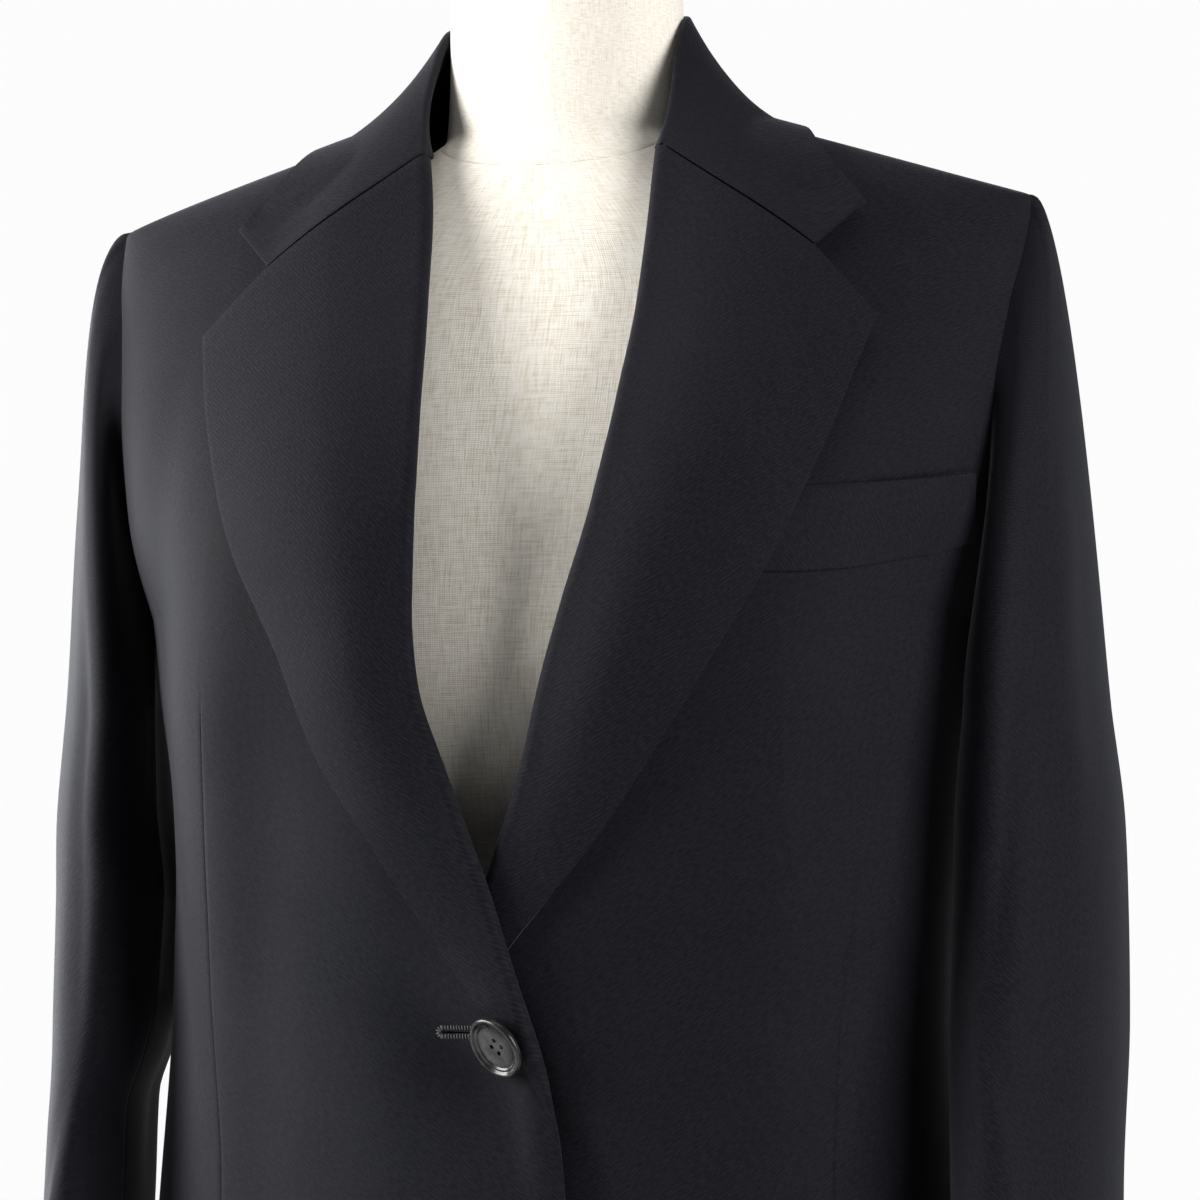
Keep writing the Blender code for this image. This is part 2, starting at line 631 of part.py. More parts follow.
def sleeve_points(first, last, columns):
    """Rows from the armhole down to the cuff, columns between two seams in degrees."""
    angle = np.radians(np.linspace(first, last, columns))
    root = armhole_point(angle)
    top_height = SLEEVE_RINGS[0][0]
    ring = sleeve_ring(angle, np.full(angle.shape, top_height))
    radial = root - np.array(ARMHOLE_MIDDLE)
    radial[:, 0] = 0
    radial /= np.linalg.norm(radial, axis=-1, keepdims=True)
    length = np.linalg.norm(ring - root, axis=-1, keepdims=True)
    leave = (np.array([CAP_OUT, 0, 0]) + radial * CAP_RISE) * length
    arrive = np.array([0, 0, -CAP_FALL]) * length
    rows = []
    for t in np.linspace(0, 1, CAP_ROWS, endpoint=False):
        rows.append(
            root * (1 + 2 * t) * (1 - t) ** 2
            + leave * t * (1 - t) ** 2
            + ring * t * t * (3 - 2 * t)
            + arrive * t * t * (t - 1)
        )
    for height in np.linspace(top_height, SLEEVE_RINGS[-1][0], ARM_ROWS):
        rows.append(sleeve_ring(angle, np.full(angle.shape, height)))
    return np.array(rows)


def add_sleeve(name, side):
    top = sleeve_points(HIND_SEAM - 360 + SLEEVE_SEAM, FORE_SEAM - SLEEVE_SEAM, TOP_COLUMNS)
    under = sleeve_points(FORE_SEAM + SLEEVE_SEAM, HIND_SEAM - SLEEVE_SEAM, UNDER_COLUMNS)
    axis = (SLEEVE_RINGS[1][1] * side, SLEEVE_RINGS[1][2])
    cloth_wall(f"sleeve_top_{name}", top * (side, 1, 1), axis)
    cloth_wall(f"sleeve_under_{name}", under * (side, 1, 1), axis)


# ---- breast welt ---------------------------------------------------------------------------
def welt_points():
    along = np.linspace(0, 1, WELT_COLUMNS)[:, None]
    low, high = (np.array(a) + along * np.subtract(b, a) for a, b in (WELT_LOW, WELT_HIGH))
    plan = low + (high - low) * np.linspace(0, 1, WELT_ROWS)[:, None, None]
    return moved_out(front_surface(plan[..., 0], plan[..., 1]), CLOTH + LAYER_GAP)


# ---- buttons -------------------------------------------------------------------------------
def add_button(number):
    bm = bmesh.new()
    turns = np.linspace(0, 2 * math.pi, BUTTON_SIDES, endpoint=False)
    loops = [
        [bm.verts.new((radius * math.cos(a), radius * math.sin(a), height)) for a in turns]
        for radius, height in BUTTON_PROFILE
    ]
    for low, high in zip(loops, loops[1:]):
        for i in range(BUTTON_SIDES):
            j = (i + 1) % BUTTON_SIDES
            bm.faces.new((low[i], low[j], high[j], high[i]))
    bm.faces.new(loops[0][::-1])
    bm.faces.new(loops[-1])
    button = add_object(f"button_{number + 1}", bm, BUTTON_HORN)
    sideways, down = (math.radians(tilt) for tilt in BUTTON_TILTS[number])
    level = Vector((-math.sin(sideways), -math.cos(sideways), 0))
    facing = level * math.cos(down) - Vector((0, 0, math.sin(down)))
    lift = WRAP_LIFT + CLOTH + BUTTON_STANDOFF[number]
    under = Vector(front_surface(BUTTON_ACROSS, BUTTON_HEIGHTS[number])) + Vector((0, -lift, 0))
    button.location = under
    button.rotation_euler = facing.to_track_quat("Z", "Y").to_euler()
    drill = bmesh.new()
    for a in (-1, 1):
        for b in (-1, 1):
            at = Matrix.Translation((a * THREAD_SPACING / 2, b * THREAD_SPACING / 2, 0))
            bmesh.ops.create_cone(
                drill, cap_ends=True, segments=8, radius1=THREAD_HOLE, radius2=THREAD_HOLE,
                depth=BUTTON_RADIUS, matrix=at,
            )
    cutter = add_object(f"thread_holes_{number + 1}", drill, BUTTON_HORN)
    cutter.location = button.location
    cutter.rotation_euler = button.rotation_euler
    cutter.hide_render = True
    cutter.display_type = "WIRE"
    holes = button.modifiers.new("holes", "BOOLEAN")
    holes.operation = "DIFFERENCE"
    holes.object = cutter


# ---- dress form ----------------------------------------------------------------------------
def add_disc(name, low, high, radius, finish):
    """A round plate whose upper rim is bevelled."""
    turned_solid(name, ((low, radius), (high - EDGE, radius), (high, radius - EDGE)), finish)


def add_form():
    ring_solid("form_torso", FORM_RINGS, LINEN)
    ring_solid("form_neck", NECK_RINGS, LINEN)
    add_disc("form_neck_cap", NECK_RINGS[-1][0] + SEAM_GAP, NECK_CAP_TOP, NECK_CAP_RADIUS, BEECH)
    pole_foot, pole_top = BASE_THICK + SEAM_GAP, FORM_RINGS[0][0] - SEAM_GAP
    turned_solid("form_pole", ((pole_foot, POLE_RADIUS), (pole_top, POLE_RADIUS)), STEEL)
    add_disc("form_base", 0.0, BASE_THICK, BASE_RADIUS, STEEL)


def main():
    for old in list(bpy.data.objects):
        bpy.data.objects.remove(old)
    for name, side in (("left", 1), ("right", -1)):
        cloth_wall(f"front_{name}", front_points(side))
        cloth_wall(f"back_{name}", back_points(side))
        cloth_wall(f"lapel_{name}", lapel_points(side))
        add_sleeve(name, side)
    cloth_wall("collar_fall", both_sides(collar_fall_half(1), collar_fall_half(-1)))
    cloth_wall("collar_stand", both_sides(collar_stand_half(1), collar_stand_half(-1)))
    cloth_wall("breast_welt", welt_points(), thickness=WELT_THICK)
    for number in range(len(BUTTON_HEIGHTS)):
        add_button(number)
    add_form()


if __name__ == "__main__":
    main()
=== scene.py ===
import math

import bmesh
import bpy
import numpy as np
from mathutils import Matrix, Vector


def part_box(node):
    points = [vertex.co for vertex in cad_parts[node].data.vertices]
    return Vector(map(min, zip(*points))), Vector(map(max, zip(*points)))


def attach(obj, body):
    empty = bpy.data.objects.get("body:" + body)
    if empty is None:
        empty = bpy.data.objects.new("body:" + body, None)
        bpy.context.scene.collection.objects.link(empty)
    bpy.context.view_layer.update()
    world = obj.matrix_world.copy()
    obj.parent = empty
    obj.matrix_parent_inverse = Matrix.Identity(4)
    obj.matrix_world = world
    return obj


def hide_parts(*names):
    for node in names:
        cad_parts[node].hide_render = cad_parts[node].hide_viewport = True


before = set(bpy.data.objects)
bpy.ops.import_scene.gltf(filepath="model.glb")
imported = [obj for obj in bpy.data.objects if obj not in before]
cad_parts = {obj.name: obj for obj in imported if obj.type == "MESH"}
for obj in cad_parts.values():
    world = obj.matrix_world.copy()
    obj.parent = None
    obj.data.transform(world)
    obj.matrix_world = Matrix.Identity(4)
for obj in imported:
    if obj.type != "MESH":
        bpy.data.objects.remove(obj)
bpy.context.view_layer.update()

# ---- foot plate and pole -------------------------------------------------------------------
# The stand's foot is a round plate cut from 8 mm steel, its upper rim rounded over, with a steel
# tube stood in its middle. Both are sprayed satin off-white, and slightly scuffed where feet reach.

STEEL_PAINT = (0.78, 0.77, 0.74)
STEEL_SCUFF = (0.55, 0.53, 0.50)
PLATE_EDGE = 0.0030        # how far the plate's upper rim is cut away
PLATE_UNDER_EDGE = 0.0010  # and its lower one
PLATE_ROUNDING, POLE_ROUNDING = 0.0014, 0.0006
PLATE_SIDES, POLE_SIDES = 128, 64
POLE_END = 0.02            # from each end of the pole to its next ring of points


def new_finish(name, roughness, **constants):
    """A material whose shader has these constants, its sockets by name, and a function adding nodes."""
    finish = bpy.data.materials.new(name)
    finish.use_nodes = True
    tree = finish.node_tree
    shader = tree.nodes["Principled BSDF"]
    shader.inputs["Roughness"].default_value = roughness
    for socket, value in constants.items():
        shader.inputs[socket.replace("_", " ")].default_value = value

    def node(kind, inputs, **settings):
        made = tree.nodes.new("ShaderNode" + kind)
        for setting, value in settings.items():
            setattr(made, setting, value)
        for socket, value in inputs.items():
            if isinstance(value, bpy.types.NodeSocket):
                tree.links.new(value, made.inputs[socket])
            else:
                made.inputs[socket].default_value = value
        return made.outputs[0]

    def wear(**sockets):
        for socket, value in sockets.items():
            tree.links.new(value, shader.inputs[socket.replace("_", " ")])

    return finish, node, wear


def between(node, share, low, high):
    """A colour that goes from low to high as share does from 0 to 1."""
    mix = node("Mix", {0: share}, data_type="RGBA").node
    mix.inputs[6].default_value = (*low, 1.0)
    mix.inputs[7].default_value = (*high, 1.0)
    return mix.outputs[2]


def ramp(node, value, low, high):
    """0 where value is below low, 1 where it is above high, and smooth between."""
    return node("MapRange", {0: value, 1: low, 2: high}, interpolation_type="SMOOTHSTEP")


def paint_finish():
    finish, node, wear = new_finish("satin_off_white_paint", 0.42, Coat_Weight=0.15, Coat_Roughness=0.3)
    at = node("TexCoord", {}).node.outputs["Object"]
    spray = node("TexNoise", {"Vector": at, "Scale": 900.0, "Detail": 2.0})
    cloudy = node("TexNoise", {"Vector": at, "Scale": 9.0, "Detail": 4.0})
    scuffs = node("TexNoise", {"Vector": at, "Scale": 60.0, "Detail": 6.0, "Roughness": 0.7})
    scuffed = ramp(node, scuffs, 0.62, 0.78)
    wear(
        Base_Color=between(node, scuffed, STEEL_PAINT, STEEL_SCUFF),
        Roughness=node("MapRange", {0: cloudy, 3: 0.34, 4: 0.52}),
        Normal=node("Bump", {"Height": spray, "Distance": 0.0002, "Strength": 0.25}),
    )
    return finish


def add_piece(name, bm, finish):
    """An object at the origin from a bmesh, smooth all over."""
    mesh = bpy.data.meshes.new(name)
    bm.to_mesh(mesh)
    bm.free()
    mesh.materials.append(finish)
    mesh.shade_smooth()
    made = bpy.data.objects.new(name, mesh)
    bpy.context.scene.collection.objects.link(made)
    return made


def turned(profile, sides):
    """A closed shape turned round the upright axis: profile is its half section, radius and height."""
    bm = bmesh.new()
    verts = [bm.verts.new((radius, 0.0, height)) for radius, height in profile]
    edges = [bm.edges.new(pair) for pair in zip(verts, verts[1:])]
    bmesh.ops.spin(
        bm, geom=verts + edges, cent=(0, 0, 0), axis=(0, 0, 1), angle=math.tau, steps=sides, use_merge=True
    )
    bmesh.ops.remove_doubles(bm, verts=bm.verts, dist=1e-7)
    bmesh.ops.recalc_face_normals(bm, faces=bm.faces)
    return bm


def rounded_rims(made, width, segments=3, angle=30):
    """A Bevel modifier that rounds whatever turns by more than this angle."""
    rim = made.modifiers.new("rims", "BEVEL")
    rim.limit_method = "ANGLE"
    rim.angle_limit = math.radians(angle)
    rim.width = width
    rim.segments = segments
    rim.profile = 0.5


paint = paint_finish()
plate_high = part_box("form_base")[1]
pole_low, pole_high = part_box("form_pole")
plate_radius, plate_top = plate_high.x, plate_high.z
pole_radius, pole_foot, pole_top = pole_high.x, pole_low.z, pole_high.z

plate = add_piece(
    "foot_plate",
    turned(
        (
            (0.0, 0.0),
            (plate_radius * 0.5, 0.0),
            (plate_radius - PLATE_UNDER_EDGE, 0.0),
            (plate_radius, PLATE_UNDER_EDGE),
            (plate_radius, plate_top - PLATE_EDGE),
            (plate_radius - PLATE_EDGE, plate_top),
            (plate_radius * 0.5, plate_top),
            (0.0, plate_top),
        ),
        PLATE_SIDES,
    ),
    paint,
)
rounded_rims(plate, PLATE_ROUNDING)
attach(plate, "root")
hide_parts("form_base")

pole = add_piece(
    "pole",
    turned(
        (
            (0.0, pole_foot),
            (pole_radius, pole_foot),
            (pole_radius, pole_foot + POLE_END),
            (pole_radius, (pole_foot + pole_top) / 2),
            (pole_radius, pole_top - POLE_END),
            (pole_radius, pole_top),
            (0.0, pole_top),
        ),
        POLE_SIDES,
    ),
    paint,
)
rounded_rims(pole, POLE_ROUNDING)
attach(pole, "root")
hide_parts("form_pole")

# ---- torso and neck of the form ------------------------------------------------------------
# The torso is a moulded shell, padded and covered in natural linen with a seam down the centre front
# and the centre back. The neck is covered by itself, sewn on along a line that dips at the front.

LINEN = (0.92, 0.880, 0.81)
LINEN_SHADE = (0.68, 0.60, 0.47)
LINEN_SLUB = (0.34, 0.22, 0.12)
LINEN_PITCH = 0.00085      # from thread to thread
FORM_RINGS = (  # height, half width, front, back, squareness
    (0.700, 0.132, 0.078, 0.098, 2.2),
    (0.712, 0.142, 0.086, 0.106, 2.2),
    (0.770, 0.157, 0.100, 0.117, 2.25),
    (0.840, 0.160, 0.106, 0.114, 2.3),
    (0.930, 0.146, 0.102, 0.092, 2.3),
    (1.020, 0.128, 0.098, 0.080, 2.3),
    (1.090, 0.136, 0.113, 0.086, 2.3),
    (1.160, 0.148, 0.127, 0.094, 2.35),
    (1.220, 0.155, 0.118, 0.098, 2.4),
    (1.280, 0.163, 0.094, 0.093, 2.5),
    (1.320, 0.163, 0.074, 0.080, 2.5),
    (1.350, 0.140, 0.061, 0.066, 2.3),
    (1.372, 0.100, 0.055, 0.057, 2.1),
    (1.390, 0.066, 0.050, 0.051, 2.0),
    (1.400, 0.0530, 0.047, 0.047, 2.0),
    (1.425, 0.0514, 0.0465, 0.0462, 2.0),
    (1.460, 0.0508, 0.0466, 0.0466, 2.0),
    (1.500, 0.0475, 0.0460, 0.0460, 2.0),
)
NECK_SEAM_HEIGHT = 1.3995
NECK_SEAM_DIP = 0.0190     # how far the seam drops at the centre front
NECK_SEAM_GAP = 0.0001
FORM_SEAM_WIDTH = 0.0011
FORM_SEAM_DEPTH = 0.0006
FORM_END_TURN = 0.0006     # height over which the cover turns in at each end
FORM_END_FRONT = 0.9       # share of that turn that is pulled flat at the centre front
FORM_CUT_RADIUS = 0.145    # round which the linen is taken to lie when its cut is laid out
FORM_SIDES, TORSO_ROWS, NECK_ROWS = 180, 150, 50


def table_value(rows, column, at):
    """One column of a table as a smooth curve that never overshoots. The first column is where."""
    rows = np.array(rows, float)
    if rows[0, 0] > rows[-1, 0]:
        rows = rows[::-1]
    where, value = rows[:, 0], rows[:, column]
    step = np.diff(where)
    rise = np.diff(value) / step
    turning = rise[:-1] * rise[1:] <= 0
    mean = 2 * rise[:-1] * rise[1:] / np.where(turning, 1.0, rise[:-1] + rise[1:])
    slope = np.concatenate([rise[:1], np.where(turning, 0.0, mean), rise[-1:]])
    at = np.clip(np.asarray(at, float), where[0], where[-1])
    i = np.clip(np.searchsorted(where, at, side="right") - 1, 0, len(step) - 1)
    t = (at - where[i]) / step[i]
    return (
        value[i] * (1 + 2 * t) * (1 - t) ** 2
        + slope[i] * step[i] * t * (1 - t) ** 2
        + value[i + 1] * t * t * (3 - 2 * t)
        + slope[i + 1] * step[i] * t * t * (t - 1)
    )


def ease(share):
    """0 below 0, 1 above 1, and smooth between."""
    share = np.clip(share, 0.0, 1.0)
    return share * share * (3 - 2 * share)


def linen_finish():
    finish, node, wear = new_finish(
        "natural_linen", 0.9, Specular_IOR_Level=0.2, Sheen_Weight=0.12, Sheen_Roughness=0.5
    )
    cut = node("UVMap", {}, uv_map="cut")
    wander = node("TexNoise", {"Vector": cut, "Scale": 160.0, "Detail": 2.0}).node.outputs["Color"]
    shifted = node("VectorMath", {0: wander, 1: (0.0012, 0.0012, 0.0)}, operation="MULTIPLY")
    yarn = node("VectorMath", {0: cut, 1: shifted}, operation="ADD")
    bands = math.tau / 20 / LINEN_PITCH
    warp = node("TexWave", {"Vector": yarn, "Scale": bands}, bands_direction="X").node.outputs["Fac"]
    weft = node("TexWave", {"Vector": yarn, "Scale": bands}, bands_direction="Y").node.outputs["Fac"]
    weave = node("Math", {0: warp, 1: weft}, operation="MULTIPLY")

    def yarns(stretch):
        """Yarn that varies in thickness, long in one direction."""
        run = node("Mapping", {"Vector": cut, "Scale": stretch})
        return node("TexNoise", {"Vector": run, "Scale": 1.0, "Detail": 3.0, "Roughness": 0.6})

    across, upright = yarns((110.0, 1150.0, 1.0)), yarns((1150.0, 90.0, 1.0))
    uneven = node("Math", {0: across, 1: upright}, operation="ADD")
    slubs = [ramp(node, thick, 0.60, 0.72) for thick in (across, upright)]
    slub = node("Math", {0: slubs[0], 1: slubs[1]}, operation="MAXIMUM")
    patchy = node("TexNoise", {"Vector": cut, "Scale": 30.0, "Detail": 4.0, "Roughness": 0.7})
    patch = ramp(node, patchy, 0.48, 0.66)
    flecked = node("TexNoise", {"Vector": cut, "Scale": 330.0, "Detail": 2.0})
    fleck = ramp(node, flecked, 0.64, 0.74)
    spots = node("Math", {0: slub, 1: fleck}, operation="MAXIMUM")
    brown = node("Math", {0: spots, 1: patch}, operation="MULTIPLY")
    thread = node("Math", {0: weave, 1: 0.30, 2: uneven}, operation="MULTIPLY_ADD")
    tone = node("MapRange", {0: thread, 1: 0.72, 2: 1.20})
    ground = between(node, tone, LINEN_SHADE, LINEN)
    stain = node("Math", {0: brown, 1: 0.34}, operation="MULTIPLY")
    stained = node("Mix", {0: stain, 6: ground}, data_type="RGBA").node
    stained.inputs[7].default_value = (*LINEN_SLUB, 1.0)
    relief = node("Math", {0: uneven, 1: 0.9, 2: weave}, operation="MULTIPLY_ADD")
    wear(
        Base_Color=stained.outputs[2],
        Normal=node("Bump", {"Height": relief, "Distance": 0.00022, "Strength": 0.5}),
    )
    return finish


def form_point(turn, height):
    """A point of the form's cover: turn is 0 at the centre front and a half turn at the back."""
    half, front, back, squareness = (float(table_value(FORM_RINGS, column, height)) for column in range(1, 5))
    power = 2 / squareness
    across = math.copysign(abs(math.sin(turn)) ** power, math.sin(turn))
    ahead = math.copysign(abs(math.cos(turn)) ** power, math.cos(turn))
    return Vector((half * across, -(front if ahead > 0 else back) * ahead, height))


def neck_seam_height(turn):
    return NECK_SEAM_HEIGHT - NECK_SEAM_DIP * max(math.cos(turn), 0.0) ** 2


def linen_cover(lowest, highest, rows, upright_seams):
    """A linen-covered closed form between two heights, which may change round it."""
    shares = [(1 - math.cos(math.pi * row / rows)) / 2 for row in range(rows + 1)]
    wall = [(1.0, 1 + share) for share in shares]
    underside, top = ([(0.0, end), (0.5, end), (0.96, end)] for end in (1.0, 2.0))
    bm = turned([*underside, *wall, *reversed(top)], FORM_SIDES)
    cut = bm.loops.layers.uv.new("cut")
    place = {}
    for vert in bm.verts:
        turn = math.atan2(vert.co.x, -vert.co.y)
        radius, share = vert.co.xy.length, vert.co.z - 1
        low, high = lowest(turn), highest(turn)
        height = low + (high - low) * share
        point = form_point(turn, height)
        from_end = min(share, 1 - share) * (high - low)
        flattened = 1 - FORM_END_FRONT * max(math.cos(turn), 0.0)
        inset = FORM_SEAM_DEPTH * flattened * math.exp(-from_end / FORM_END_TURN)
        if upright_seams:
            near = min(abs(turn), math.pi - abs(turn)) * point.xy.length
            inset += FORM_SEAM_DEPTH * math.exp(-((near / FORM_SEAM_WIDTH) ** 2))
        reach = point.xy.length
        point.xy *= max(reach - inset, 0.0) / reach
        place[vert] = (turn, height)
        vert.co = Vector((point.x * radius, point.y * radius, height))
    for face in bm.faces:
        turns = [place[loop.vert][0] for loop in face.loops]
        wraps = max(turns) - min(turns) > math.pi
        for loop, turn in zip(face.loops, turns):
            turn += math.tau if wraps and turn < 0 else 0.0
            loop[cut].uv = (turn * FORM_CUT_RADIUS, place[loop.vert][1])
    return bm


linen = linen_finish()
torso_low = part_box("form_torso")[0]
neck_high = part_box("form_neck")[1]
torso = add_piece(
    "linen_torso", linen_cover(lambda turn: torso_low.z, neck_seam_height, TORSO_ROWS, True), linen
)
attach(torso, "root")
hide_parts("form_torso")

neck = add_piece(
    "linen_neck",
    linen_cover(
        lambda turn: neck_seam_height(turn) + NECK_SEAM_GAP, lambda turn: neck_high.z, NECK_ROWS, False
    ),
    linen,
)
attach(neck, "root")
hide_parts("form_neck")

# ---- neck cap ------------------------------------------------------------------------------
# A disc turned from beech closes the neck. Its rim is rounded and it has a satin varnish over a
# fine straight grain.

BEECH = (0.58, 0.40, 0.24)
BEECH_GRAIN = (0.40, 0.25, 0.13)
CAP_EDGE = 0.0030          # how far its upper rim is cut away
CAP_ROUNDING = 0.0012
CAP_SIDES = 96


def beech_finish():
    finish, node, wear = new_finish("varnished_beech", 0.4, Coat_Weight=0.4, Coat_Roughness=0.2)
    at = node("TexCoord", {}).node.outputs["Object"]
    stretched = node("Mapping", {"Vector": at, "Scale": (60.0, 900.0, 60.0)})
    grain = node("TexNoise", {"Vector": stretched, "Scale": 1.0, "Detail": 4.0, "Roughness": 0.6})
    pores = ramp(node, grain, 0.35, 0.7)
    wear(
        Base_Color=between(node, pores, BEECH_GRAIN, BEECH),
        Normal=node("Bump", {"Height": grain, "Distance": 0.0002, "Strength": 0.2}),
    )
    return finish


cap_low, cap_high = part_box("form_neck_cap")
cap = add_piece(
    "beech_neck_cap",
    turned(
        (
            (0.0, cap_low.z),
            (cap_high.x, cap_low.z),
            (cap_high.x, cap_high.z - CAP_EDGE),
            (cap_high.x - CAP_EDGE, cap_high.z),
            (0.0, cap_high.z),
        ),
        CAP_SIDES,
    ),
    beech_finish(),
)
rounded_rims(cap, CAP_ROUNDING)
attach(cap, "root")
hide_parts("form_neck_cap")

# ---- coat backs ----------------------------------------------------------------------------
# The two backs are cut from black wool twill and sewn down the centre, from the neck to the hem. They
# hang from the shoulders, with soft upright drapes below the shoulder blades and at the waist.

WOOL_DARK = (0.0040, 0.0042, 0.0062)
WOOL_LIGHT = (0.0092, 0.0096, 0.0138)
TWILL_PITCH = 0.00120      # from line to line
WOOL_THICK = 0.0019        # the cloth with its interlining
SEAM_GAP = 0.00012         # left between two pieces at a seam
SHOULDER_HALF = 0.200      # centre to the shoulder point
SHOULDER_HEIGHT = 1.366
SHOULDER_SLOPE = 0.31      # rise of the shoulder line, per metre towards the neck
NECK_HALF = 0.072          # centre to the neck point on the shoulder seam
ARMPIT_HEIGHT = 1.190
HEM_HEIGHT = 0.430
BODY_RINGS = (  # height, half width, front, back, squareness
    (1.190, 0.176, 0.1475, 0.112, 2.7),
    (1.160, 0.174, 0.1498, 0.109, 2.7),
    (1.110, 0.168, 0.1470, 0.104, 2.6),
    (1.020, 0.163, 0.1390, 0.098, 2.5),
    (0.930, 0.170, 0.1410, 0.106, 2.4),
    (0.820, 0.181, 0.1480, 0.124, 2.35),
    (0.620, 0.198, 0.1580, 0.141, 2.3),
    (0.430, 0.212, 0.1680, 0.153, 2.3),
)
HALF_WIDTH, FRONT, BACK, SQUARENESS = range(1, 5)
CHEST_RINGS = (  # level, half width, drop, front reach, back reach
    (0.00, 0.200, 0.000, 0.000, 0.000),
    (0.10, 0.200, 0.012, 0.140, 0.200),
    (0.20, 0.200, 0.060, 0.260, 0.380),
    (0.30, 0.200, 0.130, 0.350, 0.520),
    (0.45, 0.199, 0.280, 0.470, 0.700),
    (0.60, 0.196, 0.460, 0.640, 0.830),
    (0.75, 0.190, 0.650, 0.830, 0.925),
    (0.88, 0.183, 0.835, 0.962, 0.985),
    (1.00, 0.176, 1.000, 1.000, 1.000),
)
CHEST_HALF, DROP, FRONT_REACH, BACK_REACH = range(1, 5)
ARMHOLE_SCOOP = (  # level, degrees off the front, degrees off the back
    (0.00, 0.0, 0.0),
    (0.15, 2.5, 4.0),
    (0.30, 8.5, 11.0),
    (0.45, 15.5, 15.5),
    (0.60, 18.0, 14.5),
    (0.75, 13.0, 10.0),
    (0.88, 6.0, 4.5),
    (1.00, 0.0, 0.0),
)
BACK_NECK_LEVEL = 0.27     # the centre back's neck, between the ridge and the armpit
BACK_ROWS, BACK_COLUMNS = 150, 64
BACK_CALM = (0.12, 0.10)   # shares of the width by the centre and side seams where drapes fade in
CLOTH_EDGE_SHARE = 0.36    # of its thickness, how far a cut edge is rounded
BACK_DRAPES = {  # across, height, to across, to height, half width, rise
    1: (
        (0.110, 1.290, 0.120, 1.100, 0.020, 0.0022),
        (0.072, 1.120, 0.060, 0.900, 0.014, -0.0016),
        (0.118, 1.040, 0.128, 0.820, 0.016, 0.0022),
        (0.040, 0.990, 0.020, 0.700, 0.020, 0.0016),
        (0.150, 0.900, 0.160, 0.560, 0.022, -0.0022),
        (0.090, 0.780, 0.104, 0.480, 0.024, 0.0028),
        (0.030, 1.030, 0.120, 1.012, 0.010, -0.0010),
    ),
    -1: (
        (0.114, 1.280, 0.122, 1.120, 0.018, 0.0020),
        (0.080, 1.140, 0.064, 0.930, 0.015, -0.0018),
        (0.124, 1.060, 0.130, 0.850, 0.015, 0.0020),
        (0.052, 0.960, 0.036, 0.720, 0.018, 0.0018),
        (0.146, 0.860, 0.156, 0.520, 0.020, -0.0024),
        (0.084, 0.800, 0.092, 0.500, 0.022, 0.0026),
        (0.020, 1.016, 0.104, 1.030, 0.009, -0.0009),
    ),
}


def wool_finish():
    finish, node, wear = new_finish(
        "black_wool_twill",
        0.72,
        Specular_IOR_Level=0.09,
        Sheen_Weight=0.10,
        Sheen_Roughness=0.34,
        Sheen_Tint=(0.90, 0.92, 1.0, 1.0),
    )
    cut = node("UVMap", {}, uv_map="cut")
    uneven = node("TexNoise", {"Vector": cut, "Scale": 260.0, "Detail": 2.0}).node.outputs["Color"]
    nudge = node("VectorMath", {0: uneven, 1: (0.0014, 0.0014, 0.0)}, operation="MULTIPLY")
    yarn = node("VectorMath", {0: cut, 1: nudge}, operation="ADD")
    bands = math.tau / 20 / TWILL_PITCH
    lines = node("TexWave", {"Vector": yarn, "Scale": bands}, bands_direction="Y").node.outputs["Fac"]
    run = node("Mapping", {"Vector": cut, "Scale": (330.0, 1250.0, 1.0)})
    dashes = node("TexNoise", {"Vector": run, "Scale": 1.0, "Detail": 3.0, "Roughness": 0.6})
    fibres = node("TexNoise", {"Vector": cut, "Scale": 1100.0, "Detail": 3.0, "Roughness": 0.7})
    cloudy = node("TexNoise", {"Vector": cut, "Scale": 40.0, "Detail": 4.0})
    broken = node("Math", {0: lines, 1: ramp(node, dashes, 0.35, 0.65)}, operation="MULTIPLY")
    ribs = node("Math", {0: broken, 1: 0.75, 2: dashes}, operation="MULTIPLY_ADD")
    toned = node("Math", {0: fibres, 1: 0.9, 2: ribs}, operation="MULTIPLY_ADD")
    shaded = node("Math", {0: cloudy, 1: 0.35, 2: toned}, operation="MULTIPLY_ADD")
    tone = node("MapRange", {0: shaded, 1: 1.00, 2: 1.70})
    relief = node("Math", {0: fibres, 1: 0.8, 2: ribs}, operation="MULTIPLY_ADD")
    wear(
        Base_Color=between(node, tone, WOOL_DARK, WOOL_LIGHT),
        Roughness=node("MapRange", {0: fibres, 3: 0.62, 4: 0.84}),
        Normal=node("Bump", {"Height": relief, "Distance": 0.00018, "Strength": 0.4}),
    )
    return finish


def own(side):
    """The table column of the wearer's left (1) or right (-1)."""
    return 1 if side > 0 else 2


def ridge_height(x):
    return SHOULDER_HEIGHT + (SHOULDER_HALF - np.abs(x)) * SHOULDER_SLOPE


def ring_half(level, height):
    chest = table_value(CHEST_RINGS, CHEST_HALF, np.clip(level, 0, 1))
    return np.where(level <= 1, chest, table_value(BODY_RINGS, HALF_WIDTH, height))


def ring_power(height):
    return 2 / table_value(BODY_RINGS, SQUARENESS, height)


def level_height(level):
    """The height of a level below the armpit, and the armpit's above it."""
    return ARMPIT_HEIGHT + (HEM_HEIGHT - ARMPIT_HEIGHT) * np.clip(level - 1, 0, 1)


